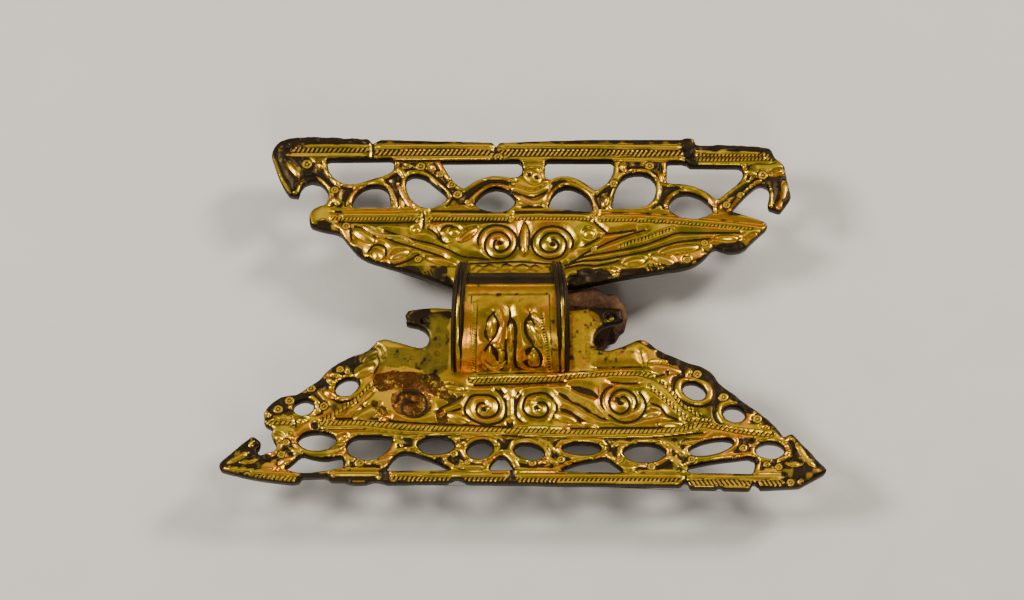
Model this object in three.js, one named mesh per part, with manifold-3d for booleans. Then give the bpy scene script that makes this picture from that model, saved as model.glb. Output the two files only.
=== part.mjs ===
// Equal-armed bow brooch, cast in one piece, lying on its back. Millimetres, +Z up.
// +Y points to the head plate, +X to the right, and z = 0 is the front face of both plates.
import * as THREE from 'three';
import { mergeVertices } from 'three/addons/utils/BufferGeometryUtils.js';
import Module from 'manifold-3d';

const wasm = await Module();
wasm.setup();

// Driving dimensions
const broochWidth = 87.6; // the tables of plan points are stretched to this across
const broochLength = 59.8; // and to this from foot to head
const plateThickness = 1.6;
const archSegments = 28;
const curveStep = 1.1; // length of one straight piece on a curved edge
const ridgeStep = 2.6; // the same along a ridge
const ridgeHeight = 0.45; // cast ridges above the plates' front face
const throughCut = 1; // how far a cut runs past the plate on each side
const ridgeSink = 0.3; // how deep a ridge reaches into what carries it
const barRidgeWidth = 0.8;
const rimWidth = 1.2;
const fineRidgeWidth = 0.9;
const leafWidth = 1.4;
const spiralRidgeWidth = 0.75;

const bowFootY = -12.3; // where the bow's front leaves the foot plate
const bowRadius = 7.8; // outer face of the carved panel
const bowThickness = 2.0;
const bowWidth = 17.3;
const bowCentreX = -0.25;
const bowTaper = 0.13; // share of the width lost at the head end
const bowRibRadius = 9.0; // crest of the two side ribs
const bowRibWidth = 1.9;
const bowRibDepth = 3.0;
const bowRibOverhang = 0.3; // how far the ribs start before the panel
const bowCrossRidgeAngle = 118; // degrees round the bow from its foot
const bowCrossRidgeWidth = 2.6;

const restHeight = 7.0; // back of the plates to the surface that the brooch lies on
const catchX = 0.4;
const catchHeadY = -12.2;
const catchLength = 7;
const catchThickness = 1.2;
const catchRadius = 1.8;
const lugX = 4.5;
const lugThickness = 1.6;
const lugHeadY = 6.4;
const lugFootY = 2.9;
const lugDepth = 5.2;
const clearance = 0.3; // between the spring's remains and the casting

const springLeftX = -7;
const springRightX = 17.2;
const springY = -0.3;
const springRadiusY = 4.9;
const springRadiusZ = 4.0;
const springUnevenness = 0.055; // share of the radius
const restFlat = 0.5; // depth of the flat that the spring's lump rests on
const bulgeX = 10.9;
const bulgeY = 0.3;
const bulgeTopZ = -0.4;
const bulgeRadius = 2.6;
const bulgeRadiusY = 1.6;

// Values that follow
const backZ = -plateThickness;
const restZ = backZ - restHeight;
const bowY = bowFootY + bowRadius;
const bowRibY = bowFootY - bowRibOverhang + bowRibRadius;
const bowHeadY = bowRibY + bowRibRadius;

// A bare point lies on a smooth run; a corner ends one.
const corner = (x, y) => [x, y, true];

const headOutline = [
  corner(-36.4, 25), [-36.1, 26.8], [-34.6, 28.2], [-32, 28.6], corner(-21.6, 28.2),
  corner(-21.4, 27.5), corner(-20.8, 27.5), corner(-20, 28.1), corner(-2.8, 27.6), corner(-2.6, 26.8),
  corner(-2.3, 26.8), corner(-2, 27.6), corner(12, 28.1), corner(25.9, 28.1), corner(26, 28.4),
  corner(27.7, 28.4), corner(27.8, 27.1), [33, 27.2], corner(39.2, 26.6), corner(39.8, 24.8),
  [41.1, 23.6], [41.4, 21.4], corner(42, 17.8), corner(40.3, 15.3), corner(38.2, 16.1),
  [38.7, 18], [38.5, 19.8], [37.6, 20.3], [36, 19.1], corner(32.8, 15.4),
  corner(37.8, 13.6), corner(38.4, 12.7), [36, 10.4], [34.6, 8.8], [32.4, 8.4],
  corner(30.2, 9.2), [28.2, 6.9], [26.3, 5.8], [20, 4.7], corner(9.5, 2.4),
  corner(-9, 2.3), [-14, 4.4], [-19, 6.1], [-22.5, 7.6], corner(-25.8, 11.7),
  corner(-28.3, 12.2), corner(-30.3, 12.9), corner(-30.4, 14.8), [-29.6, 16], corner(-28, 16.5),
  [-27.5, 18], [-28.6, 20.1], [-29.9, 20.8], [-31.5, 20], corner(-31.9, 18),
  corner(-33.6, 18.3), [-34.8, 20.4],
];

const headHoles = [
  [corner(-28, 24.6), corner(-18, 24.7), [-17.9, 22.6], [-20.5, 21.3], [-25, 20.2], [-27.4, 22]],
  [corner(-24, 16), [-23.6, 18], [-22.3, 19.5], [-20.6, 20], [-19, 19.5], corner(-18.1, 16)],
  [[-15.5, 21.7], [-13.5, 21.6], [-11.5, 19.9], [-9.7, 17.9], [-10.6, 16.5], [-13, 15.9], [-14.8, 17],
    [-15.9, 19.4]],
  [corner(-10.9, 24.3), corner(1.2, 24.4), [1.6, 22.6], [0.9, 21.4], [-3, 21.7], [-5.2, 20.9],
    corner(-7.3, 19.3), [-8.7, 20.5]],
  [[-5.6, 16.4], [-4.6, 18.4], [-2.7, 19.6], [-0.8, 19.1], [0.5, 17.2], [-0.2, 15.8], [-2.5, 15.4]],
  [corner(5.4, 15.9), [6.4, 18.6], [8, 19.8], [9.8, 19.3], [11.5, 17.8], corner(12.2, 15.3)],
  [corner(5.1, 24.4), corner(15.3, 24.4), [15.3, 22.4], [14.4, 20.4], corner(12.6, 19), [10.8, 20.5],
    [9, 21.5], [7.2, 21.6], [5.2, 20.9]],
  [[17.3, 21.8], [19, 22.2], [20.9, 21.7], [21.7, 19.2], [20.6, 16.6], [18.2, 15.9], corner(14.9, 15.8),
    [15.6, 19], [16.3, 20.7]],
  [[23.5, 15.6], [24.1, 17.6], [25.8, 18.7], [27.6, 18.3], [29.4, 17], [30.2, 15.2], [27, 14.2]],
  [corner(23.5, 24.2), corner(26.4, 24.2), corner(26.6, 23.5), corner(34.6, 23.4), [34.8, 21.4],
    corner(30.8, 17.3), [29.3, 18.8], [27.3, 19.9], corner(23.3, 20.4)],
];

const footOutline = [
  corner(-7, -9.8), corner(-7, -1.6), [-12, -1.4], corner(-15.3, -1.8), corner(-15.9, -2.8),
  corner(-15.3, -3.3), corner(-16, -4), [-13.2, -4.7], [-12.1, -6.4], [-12.8, -8.1], [-17, -7.1],
  [-19.2, -6.6], [-21.3, -8.7], [-24, -9.8], [-26.8, -11.8], [-28, -13.3], corner(-31.3, -15.9),
  [-33.6, -16.3], [-36, -18.8], corner(-35.8, -20), corner(-36, -20.7), corner(-34.5, -21.5),
  [-34.8, -22.6], [-33.8, -24.9], [-35.4, -25.4], corner(-36.3, -25.9), corner(-36.8, -25.1),
  [-36, -24], corner(-37.5, -22.6), corner(-41.6, -26.6), [-42.2, -27.4], corner(-42, -28.1),
  [-37, -29.4], corner(-31.5, -30.2), corner(-30.3, -30), corner(-30.2, -29.3), corner(-26.4, -29.2),
  corner(-26.3, -29.8), corner(-23.5, -29.8), corner(-23.4, -30.2), corner(-20.6, -30.2),
  corner(-20.5, -29.8), corner(-18.5, -29.8), corner(-18.4, -30.2), corner(-8.8, -30),
  corner(-8.7, -29.4), corner(-7, -29.4), corner(-6.8, -30.1), corner(24.4, -30.6),
  corner(24.6, -29.9), corner(25.2, -29.9), corner(25.3, -31), corner(29.6, -31),
  corner(29.7, -30.2), corner(29.9, -30.2), corner(30, -31.1), corner(34.3, -31.2),
  corner(34.4, -30.2), corner(35.2, -30.2), corner(35.3, -31.1), corner(41.2, -30.8),
  corner(45.4, -28.3), corner(42, -24.2), corner(40.4, -22.1), corner(39.2, -23), corner(38.9, -22.2),
  [37, -19.9], [33.3, -16.7], corner(30.1, -13.9), [29, -12.1], [24, -9.8], [21.6, -8.6],
  [19.2, -6.7], [15.8, -8.1], [13.2, -8.6], [12, -7], [13.2, -4.6], corner(16.7, -3.6),
  corner(16.2, -2.8), corner(16.4, -1.6), [14, -1.3], corner(7, -2), corner(7, -9.8),
];

// Pierced ovals: centre x, centre y, half length, half height, tilt in degrees
const footOvals = [
  [-28.1, -23.5, 2.8, 1.5, 0], [-10.9, -24.15, 2.7, 1.45, 0], [-4.6, -24.9, 2.0, 1.5, 20],
  [2.5, -25.2, 2.3, 1.3, -15], [10, -24.7, 2.9, 1.0, 0], [19.1, -25.4, 3.1, 1.55, 0],
  [28.7, -24.5, 3.4, 1.15, 14], [37.2, -25, 2.1, 1.4, 0],
  [-24, -14.6, 1.9, 1.4, 35], [-30.2, -18, 1.6, 1.3, 20],
  [26.5, -15.3, 1.9, 1.4, -35], [32.2, -19.1, 1.7, 1.35, -20],
];

const footHoles = [
  [[-23.2, -23.1], [-20, -22.8], corner(-17.1, -22.9), [-17.6, -24.6], [-19.5, -26.2], [-22.4, -26.3],
    [-23.8, -25]],
  [corner(-32.9, -28), [-31.4, -26.9], corner(-30.3, -25.6), [-29.2, -26], [-27, -26.4],
    corner(-24.5, -25.9), corner(-24.1, -27.8), [-30, -28.6]],
  [corner(-18.2, -28.3), [-16.7, -25.9], [-15.2, -25.3], [-13, -26], [-11, -26.8], corner(-8.5, -28.2)],
  [corner(-3.3, -28.2), [-2.7, -26.8], [-1.4, -25.8], corner(0.4, -28.2)],
  [corner(6.4, -28.4), [9, -27.2], corner(13.5, -26.2), corner(16.4, -28.6)],
  [corner(25.2, -28.6), corner(25.4, -27.6), [28, -27], [32, -26.4], [34.9, -26.3],
    corner(34.6, -28.8)],
];

// Ridges on the plates: crest points, left to right
const headRidges = [
  { points: [[-34, 27], [-28, 27.2], [-22, 27.1]], width: barRidgeWidth },
  { points: [[-20.4, 27], [-3.1, 26.6]], width: barRidgeWidth },
  { points: [[-1.7, 26.7], [12, 27.2], [25.6, 27.2]], width: barRidgeWidth },
  { points: [[28.2, 26], [33, 26.2], [38.6, 25.6]], width: barRidgeWidth },
  { points: [[-33, 25.4], [-20, 25.2], [-3.1, 24.8]], width: barRidgeWidth },
  { points: [[-1.7, 24.8], [12, 24.9], [25.6, 24.8]], width: barRidgeWidth },
  { points: [[27.4, 24.1], [33, 24.1], [39.6, 23.9]], width: barRidgeWidth },
  { points: [[-28.6, 15.2], [-20, 15.2], [0, 15], [12, 14.9], [22, 14.9], [30, 14.2], [36.8, 13.3]],
    width: rimWidth },
  { points: [[9.6, 7.6], [14, 8], [20, 9.7], [28, 11.2], [33, 11.7]], width: fineRidgeWidth },
  { points: [[9, 9], [14, 10.2], [20, 12], [25, 12.9]], width: fineRidgeWidth },
  { points: [[-9, 7.8], [-13, 9.3], [-17, 10.8], [-22, 13]], width: fineRidgeWidth },
  { points: [[-1, 7], [-7, 6.6], [-13, 7.9], [-19, 10]], width: fineRidgeWidth },
  { points: [[2, 8], [2, 13.4]], width: leafWidth },
];
const footRidges = [
  { points: [[-40, -27.4], [-34, -28.8], [-31, -29.1]], width: barRidgeWidth },
  { points: [[-17.8, -28.8], [0, -28.8], [15, -29], [24, -29.2]], width: barRidgeWidth },
  { points: [[25.6, -29.2], [32, -29.4], [40.5, -29.3]], width: barRidgeWidth },
  { points: [[-6.4, -29.8], [10, -29.9], [24, -30.1]], width: barRidgeWidth },
  { points: [[-34.5, -21], [-20, -21.6], [0, -22], [14, -22.3], [26, -22.2], [37.5, -22.3]],
    width: rimWidth },
  { points: [[-20, -13.4], [-6, -12.9], [5, -12.8], [14, -11.8], [20, -12.3], [24, -15.4], [28, -20]],
    width: fineRidgeWidth },
  { points: [[-20.6, -14], [-23, -16.2], [-27.4, -19.9]], width: fineRidgeWidth },
  { points: [[6, -15], [10, -18.2], [13.5, -21]], width: fineRidgeWidth },
  { points: [[8.6, -14.7], [12, -17.3], [15, -20.2]], width: fineRidgeWidth },
  { points: [[-6, -15.3], [-10, -18.3], [-12.4, -20.4]], width: fineRidgeWidth },
  { points: [[-0.2, -14.6], [-0.2, -20.2]], width: fineRidgeWidth },
  { points: [[39.6, -24.4], [41.4, -24.6], [44, -28]], width: fineRidgeWidth },
  { points: [[-41, -27], [-37.6, -24.2]], width: fineRidgeWidth },
];

// Running spirals: start is the outer end's angle in degrees, and a turn of 1 winds in anticlockwise.
const spirals = [
  { x: -1.9, y: 10, radius: 2.9, start: -60, turn: -1 },
  { x: 6.1, y: 10.2, radius: 2.8, start: 240, turn: 1 },
  { x: -4, y: -18, radius: 2.7, start: 60, turn: -1 },
  { x: 3.7, y: -17.9, radius: 2.7, start: 120, turn: 1 },
  { x: 16.3, y: -16.8, radius: 2.9, start: 100, turn: 1 },
  { x: -14.7, y: -17.4, radius: 2.9, start: 80, turn: -1 },
];
const spiralTurns = 1.7;
const spiralCoreRadius = 0.5;
const spiralStepsInTurn = 11;

// Loops carved on the bow's panel: across the bow, and along its face from the foot
const panelRidges = [
  [[-2.9, 1], [-4, 2.6], [-3.5, 4.8], [-2.4, 6.4]],
  [[-2.9, 1], [-1.7, 2.8], [-2.2, 5], [-3.6, 7.6], [-3.2, 9.6], [-2.4, 10.8]],
  [[-0.4, 3], [-0.2, 7], [-0.9, 10.6]],
  [[3, 1], [4.1, 2.8], [3.4, 5.2], [1.6, 8], [2.2, 10.6]],
  [[3, 1], [1.9, 2.8], [2.6, 5.2], [4, 8], [3.4, 10.4]],
];

// How far the tables reach along one axis
function planExtent(axis) {
  const places = [...headOutline, ...footOutline].map((point) => point[axis]);
  return Math.max(...places) - Math.min(...places);
}

const stretchAcross = broochWidth / planExtent(0);
const stretchAlong = broochLength / planExtent(1);
const onPlan = ([x, y]) => new THREE.Vector3(x * stretchAcross, y * stretchAlong, 0);

function toManifold(geometry) {
  geometry.deleteAttribute('normal');
  geometry.deleteAttribute('uv');
  const merged = mergeVertices(geometry, 1e-5);
  return new wasm.Manifold(new wasm.Mesh({
    numProp: 3,
    vertProperties: new Float32Array(merged.attributes.position.array),
    triVerts: new Uint32Array(merged.index.array),
  }));
}

function toGeometry(manifold) {
  const mesh = manifold.getMesh();
  const geometry = new THREE.BufferGeometry();
  geometry.setAttribute('position', new THREE.BufferAttribute(new Float32Array(mesh.vertProperties), 3));
  geometry.setIndex(new THREE.BufferAttribute(new Uint32Array(mesh.triVerts), 1));
  geometry.computeVertexNormals();
  return geometry;
}

const join = (manifolds) => manifolds.reduce((whole, next) => whole.add(next));

// Points along a closed outline: each smooth run between two corners is a spline.
function alongOutline(points) {
  const firstCorner = points.findIndex((point) => point[2]);
  const start = Math.max(firstCorner, 0);
  const turned = [...points.slice(start), ...points.slice(0, start), points[start]];
  const result = [];
  let run = [turned[0]];
  for (const point of turned.slice(1)) {
    run.push(point);
    if (point[2] || point === turned[turned.length - 1]) {
      result.push(...alongRun(run, firstCorner < 0));
      run = [point];
    }
  }
  return result;
}

// One run without its last point, which the next run starts with
function alongRun(run, closed) {
  if (run.length === 2) return [onPlan(run[0])];
  const places = (closed ? run.slice(0, -1) : run).map(onPlan);
  const curve = new THREE.CatmullRomCurve3(places, closed, 'centripetal');
  const pieces = Math.max(2, Math.ceil(curve.getLength() / curveStep));
  return curve.getSpacedPoints(pieces).slice(0, -1);
}

function ovalPoints([x, y, halfLength, halfHeight, tilt]) {
  const curve = new THREE.EllipseCurve(x, y, halfLength, halfHeight, 0, 2 * Math.PI, false,
    THREE.MathUtils.degToRad(tilt));
  const points = curve.getPoints(Math.ceil(curve.getLength() / curveStep)).slice(0, -1);
  return points.map((place) => onPlan([place.x, place.y]));
}

function prism(points, bottom, top) {
  const corners = points.map((place) => new THREE.Vector2(place.x, place.y));
  const geometry = new THREE.ExtrudeGeometry(new THREE.Shape(corners),
    { depth: top - bottom, bevelEnabled: false });
  geometry.translate(0, 0, bottom);
  return toManifold(geometry);
}

function plate(outline, holes, ovals) {
  const openings = [...holes.map(alongOutline), ...ovals.map(ovalPoints)];
  return openings.reduce(
    (left, points) => left.subtract(prism(points, backZ - throughCut, throughCut)),
    prism(alongOutline(outline), backZ, 0));
}

// A roof-shaped ridge along a curve in the plates' front plane
function ridgeGeometry(curve, width, height, pieces) {
  const section = new THREE.Shape([
    new THREE.Vector2(ridgeSink, -width / 2), new THREE.Vector2(ridgeSink, width / 2),
    new THREE.Vector2(0, width / 2), new THREE.Vector2(-height, 0), new THREE.Vector2(0, -width / 2),
  ]);
  return new THREE.ExtrudeGeometry(section, { steps: pieces, bevelEnabled: false, extrudePath: curve });
}

function ridge({ points, width }) {
  const curve = new THREE.CatmullRomCurve3(points.map(onPlan));
  const pieces = points.length === 2 ? 1 : Math.ceil(curve.getLength() / ridgeStep);
  return toManifold(ridgeGeometry(curve, width, ridgeHeight, pieces));
}

// Each point moves inward by the same step for each degree turned.
function spiral({ x, y, radius, start, turn }) {
  const count = Math.round(spiralStepsInTurn * spiralTurns);
  const core = spiralCoreRadius / stretchAcross;
  const places = [];
  for (let i = 0; i <= count; i += 1) {
    const angle = THREE.MathUtils.degToRad(start) + turn * 2 * Math.PI * spiralTurns * i / count;
    const reach = radius + (core - radius) * i / count;
    places.push(onPlan([x + reach * Math.cos(angle), y + reach * Math.sin(angle)]));
  }
  const curve = new THREE.CatmullRomCurve3(places);
  return toManifold(ridgeGeometry(curve, spiralRidgeWidth, ridgeHeight, count));
}

// Turns a profile drawn in (y, z) so that its depth runs along +X.
const acrossBow = new THREE.Matrix4().makeBasis(
  new THREE.Vector3(0, 1, 0), new THREE.Vector3(0, 0, 1), new THREE.Vector3(1, 0, 0));

function narrowToHead(geometry) {
  const place = geometry.attributes.position;
  for (let i = 0; i < place.count; i += 1) {
    const along = (place.getY(i) - bowFootY) / (bowHeadY - bowFootY);
    place.setX(i, bowCentreX + place.getX(i) * (1 - bowTaper * along * Math.abs(along)));
  }
  return geometry;
}

// Half ring standing on the plates' back plane
function arch(centreY, radius, thickness, left, width) {
  const shape = new THREE.Shape();
  shape.moveTo(centreY - radius, backZ);
  shape.absarc(centreY, 0, radius, Math.PI, 0, true);
  shape.lineTo(centreY + radius, backZ);
  shape.lineTo(centreY + radius - thickness, backZ);
  shape.absarc(centreY, 0, radius - thickness, 0, Math.PI, false);
  shape.lineTo(centreY - radius + thickness, backZ);
  const geometry = new THREE.ExtrudeGeometry(shape,
    { depth: width, bevelEnabled: false, curveSegments: archSegments });
  geometry.applyMatrix4(acrossBow);
  geometry.translate(left, 0, 0);
  return toManifold(narrowToHead(geometry));
}

// Carries a ridge from the flat (across, along) onto the bow's outer face.
function ridgeOnBow(places, width) {
  const curve = new THREE.CatmullRomCurve3(places);
  const pieces = Math.ceil(curve.getLength() / curveStep);
  const geometry = ridgeGeometry(curve, width, ridgeHeight, pieces);
  const place = geometry.attributes.position;
  for (let i = 0; i < place.count; i += 1) {
    const angle = place.getY(i) / bowRadius;
    const reach = bowRadius + place.getZ(i);
    place.setXYZ(i, place.getX(i), bowY - reach * Math.cos(angle), reach * Math.sin(angle));
  }
  return toManifold(narrowToHead(geometry));
}

function bow() {
  const half = bowWidth / 2;
  const crossAt = THREE.MathUtils.degToRad(bowCrossRidgeAngle) * bowRadius; // along the face
  const panelHalf = half - bowRibWidth;
  return join([
    arch(bowY, bowRadius, bowThickness, -half + bowRibWidth / 2, bowWidth - bowRibWidth),
    arch(bowRibY, bowRibRadius, bowRibDepth, -half, bowRibWidth),
    arch(bowRibY, bowRibRadius, bowRibDepth, half - bowRibWidth, bowRibWidth),
    ridgeOnBow([-panelHalf, 0, panelHalf].map((x) => new THREE.Vector3(x, crossAt, 0)),
      bowCrossRidgeWidth),
    ...panelRidges.map((points) => ridgeOnBow(points.map(onPlan), fineRidgeWidth)),
  ]);
}

// Fin behind the foot plate, its lower edge rolled to hold the pin's point
function catchPlate() {
  const rollZ = restZ + catchRadius;
  const rollX = catchX + catchRadius;
  const shape = new THREE.Shape();
  shape.moveTo(catchX, backZ + ridgeSink);
  shape.lineTo(catchX, rollZ);
  shape.absarc(rollX, rollZ, catchRadius, Math.PI, 1.5 * Math.PI, false);
  shape.absarc(rollX, rollZ, catchRadius, 1.5 * Math.PI, 2.15 * Math.PI, false);
  shape.absarc(rollX, rollZ, catchRadius - catchThickness, 2.15 * Math.PI, Math.PI, true);
  shape.lineTo(catchX + catchThickness, backZ + ridgeSink);
  const geometry = new THREE.ExtrudeGeometry(shape,
    { depth: catchLength, bevelEnabled: false, curveSegments: 6 });
  geometry.applyMatrix4(new THREE.Matrix4().makeBasis(
    new THREE.Vector3(1, 0, 0), new THREE.Vector3(0, 0, 1), new THREE.Vector3(0, -1, 0)));
  geometry.translate(0, catchHeadY, 0);
  return toManifold(geometry);
}

// Lug behind the head plate that carried the spring. Grown by a margin, it is the slot in the remains.
function lug(margin) {
  const depth = lugDepth + ridgeSink + margin;
  const geometry = new THREE.BoxGeometry(
    lugThickness + 2 * margin, lugHeadY - lugFootY + 2 * margin, depth);
  geometry.translate(lugX, (lugHeadY + lugFootY) / 2, backZ + ridgeSink - depth / 2);
  return toManifold(geometry);
}

// Rusted lump of the pin's spring: a swollen roll along X, flat where it rests and under the plates
function springRoll() {
  const length = springRightX - springLeftX;
  const swelling = [[0, 0], [0.03, 0.5], [0.12, 0.72], [0.3, 0.84], [0.5, 0.94], [0.64, 1], [0.8, 1],
    [0.92, 0.8], [0.98, 0.45], [1, 0]];
  const profile = swelling.map(([share, reach]) => new THREE.Vector2(reach, share * length));
  const roll = new THREE.LatheGeometry(profile, 20);
  const centreZ = restZ + springRadiusZ - restFlat;
  const place = roll.attributes.position;
  for (let i = 0; i < place.count; i += 1) {
    const x = springLeftX + place.getY(i);
    const lumps = Math.sin(0.9 * x) * Math.cos(2.3 * place.getX(i)) + Math.sin(0.43 * x + 1);
    const swell = 1 + springUnevenness * lumps;
    const y = springY + springRadiusY * place.getZ(i) * swell;
    const z = centreZ + springRadiusZ * place.getX(i) * swell;
    place.setXYZ(i, x, y, THREE.MathUtils.clamp(z, restZ, backZ - clearance));
  }
  return toManifold(roll);
}

// Rust that swelled up into the gap between the plates
function rustBulge() {
  const bulge = new THREE.SphereGeometry(1, 14, 8);
  bulge.scale(bulgeRadius, bulgeRadiusY, bulgeRadius);
  bulge.translate(bulgeX, bulgeY, bulgeTopZ - bulgeRadius);
  return toManifold(bulge);
}

const gold = new THREE.MeshStandardMaterial({ color: 0xb08a2e, roughness: 0.38, metalness: 1 });
const rust = new THREE.MeshStandardMaterial({ color: 0x5a3a22, roughness: 0.95, metalness: 0 });

const casting = join([
  plate(headOutline, headHoles, []),
  plate(footOutline, footHoles, footOvals),
  bow(),
  catchPlate(),
  lug(0),
  ...headRidges.map(ridge),
  ...footRidges.map(ridge),
  ...spirals.map(spiral),
]);
const remains = springRoll().add(rustBulge()).subtract(lug(clearance));

const castingMesh = new THREE.Mesh(toGeometry(casting), gold);
castingMesh.name = 'brooch_body';
const remainsMesh = new THREE.Mesh(toGeometry(remains), rust);
remainsMesh.name = 'pin_spring_remains';

// The origin is under the middle of the brooch, on the surface that it lies on.
const brooch = new THREE.Group();
brooch.add(castingMesh, remainsMesh);
const box = new THREE.Box3().setFromObject(brooch);
const middle = box.getCenter(new THREE.Vector3());
brooch.position.set(-middle.x, -middle.y, -box.min.z);
brooch.updateMatrixWorld(true);

export default brooch;
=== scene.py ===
import math

import bpy
import numpy as np
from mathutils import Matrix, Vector
from mathutils.geometry import delaunay_2d_cdt


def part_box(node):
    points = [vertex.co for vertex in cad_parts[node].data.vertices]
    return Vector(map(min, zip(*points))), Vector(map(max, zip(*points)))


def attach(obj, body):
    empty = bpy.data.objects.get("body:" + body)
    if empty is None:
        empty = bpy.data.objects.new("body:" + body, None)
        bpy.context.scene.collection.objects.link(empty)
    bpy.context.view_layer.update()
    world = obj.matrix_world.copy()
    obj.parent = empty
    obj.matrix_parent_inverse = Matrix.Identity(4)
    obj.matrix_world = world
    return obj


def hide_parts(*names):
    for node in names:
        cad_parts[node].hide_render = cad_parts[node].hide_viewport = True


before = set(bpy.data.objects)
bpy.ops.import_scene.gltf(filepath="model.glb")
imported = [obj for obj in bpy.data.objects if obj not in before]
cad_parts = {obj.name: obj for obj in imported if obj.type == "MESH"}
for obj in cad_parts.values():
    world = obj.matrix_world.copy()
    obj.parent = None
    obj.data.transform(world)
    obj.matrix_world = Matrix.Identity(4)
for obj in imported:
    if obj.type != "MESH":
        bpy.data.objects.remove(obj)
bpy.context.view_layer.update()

# All carving is laid out in mm on the plates' front plane: x to the right, y to the head, z up.
# The casting's own box gives the way from there to the frame.
layout = {"lowX": -42.16, "lowY": -31.2, "highZ": 9.0}
castLow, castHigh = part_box("brooch_body")
origin = np.array([castLow.x * 1000 - layout["lowX"], castLow.y * 1000 - layout["lowY"],
                   castHigh.z * 1000 - layout["highZ"]])
print("stage: frame loaded, front plane at z", round(float(origin[2]), 3), "mm")


def toFrame(points):
    # mm on the front plane to metres in the frame: (p + origin) / 1000
    return (np.asarray(points, dtype=float) + origin) / 1000.0


# ---- camera: 60 degrees above the plates, from the foot side
shot = {"target": (0.0, 0.0, 0.0), "elevation": 60.0, "distance": 0.5, "lens": 119.0}
aim = Vector(toFrame(shot["target"]))
tilt = math.radians(shot["elevation"])
cameraData = bpy.data.cameras.new("camera")
cameraData.lens = shot["lens"]
cameraData.sensor_width = 36.0
cameraData.clip_start = 0.01
camera = bpy.data.objects.new("camera", cameraData)
camera.location = aim + Vector((0.0, -math.cos(tilt), math.sin(tilt))) * shot["distance"]
camera.rotation_euler = (math.pi / 2 - tilt, 0.0, 0.0)
bpy.context.scene.collection.objects.link(camera)
bpy.context.scene.camera = camera


# ---- mesh helpers
def makeMesh(name, points, faces, marks=None, crease=50.0):
    # points (n, 3) in mm, faces a list of index arrays with 3 or 4 columns, marks one value a point
    mesh = bpy.data.meshes.new(name)
    placed = toFrame(points)
    corners = np.concatenate([part.ravel() for part in faces]).astype(np.int32)
    sizes = np.concatenate([np.full(len(part), part.shape[1]) for part in faces])
    starts = np.concatenate([[0], np.cumsum(sizes)[:-1]]).astype(np.int32)
    mesh.vertices.add(len(placed))
    mesh.vertices.foreach_set("co", placed.ravel())
    mesh.loops.add(len(corners))
    mesh.loops.foreach_set("vertex_index", corners)
    mesh.polygons.add(len(sizes))
    mesh.polygons.foreach_set("loop_start", starts)
    mesh.polygons.foreach_set("use_smooth", np.ones(len(sizes), dtype=bool))
    for mark, values in (marks or {}).items():
        layer = mesh.attributes.new(mark, "FLOAT", "POINT")
        layer.data.foreach_set("value", np.asarray(values, dtype=np.float32).ravel())
    mesh.update(calc_edges=True)
    mesh.validate()
    mesh.set_sharp_from_angle(angle=math.radians(crease))
    piece = bpy.data.objects.new(name, mesh)
    bpy.context.scene.collection.objects.link(piece)
    return piece


def tubeFaces(rows, columns, first=0):
    # quads between neighbouring rings of a grid of points, closed round the columns, with both ends
    # closed by quads across the ring
    index = first + np.arange(rows * columns).reshape(rows, columns)
    around = np.roll(index, -1, axis=1)
    sides = np.stack([index[:-1], around[:-1], around[1:], index[1:]], axis=-1).reshape(-1, 4)
    half = columns // 2
    near = np.arange(half - 1)
    far = columns - 1 - near
    low, high = index[0], index[-1]
    startCap = np.stack([low[near], low[far], low[far - 1], low[near + 1]], axis=-1)
    endCap = np.stack([high[near], high[near + 1], high[far - 1], high[far]], axis=-1)
    return [sides, startCap, endCap]


def smoothLine(points, spacing=0.3):
    # Catmull-Rom curve through points given as x, y, x, y ...:
    # p = (2b + (c - a) t + (2a - 5b + 4c - d) t^2 + (3b - a - 3c + d) t^3) / 2
    knots = np.array(points, dtype=float).reshape(-1, 2)
    if len(knots) < 3:
        return knots
    padded = np.vstack([2 * knots[0] - knots[1], knots, 2 * knots[-1] - knots[-2]])
    pieces = []
    for a, b, c, d in zip(padded[:-3], padded[1:-2], padded[2:-1], padded[3:]):
        count = max(2, int(np.hypot(*(c - b)) / spacing))
        t = np.linspace(0, 1, count, endpoint=False)[:, None]
        pieces.append((2 * b + (c - a) * t + (2 * a - 5 * b + 4 * c - d) * t ** 2
                       + (3 * b - a - 3 * c + d) * t ** 3) / 2)
    return np.vstack(pieces + [knots[-1:]])


def unevenness(shape, cell, seed):
    # smooth random field of about -1..1: random values on a coarse grid, eased between its points
    source = np.random.default_rng(seed).uniform(-1, 1, (int(shape[0] / cell) + 3, int(shape[1] / cell) + 3))
    rows, columns = np.arange(shape[0]) / cell, np.arange(shape[1]) / cell
    i, j = rows.astype(int), columns.astype(int)
    u, v = rows - i, columns - j
    u, v = (u * u * (3 - 2 * u))[:, None], (v * v * (3 - 2 * v))[None, :]
    top = source[np.ix_(i, j)] * (1 - v) + source[np.ix_(i, j + 1)] * v
    low = source[np.ix_(i + 1, j)] * (1 - v) + source[np.ix_(i + 1, j + 1)] * v
    return top * (1 - u) + low * u


def eased(value, low, high):
    # 0 below low, 1 above high, t^2 (3 - 2t) between
    t = np.clip((value - low) / (high - low), 0, 1)
    return t * t * (3 - 2 * t)


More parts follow.
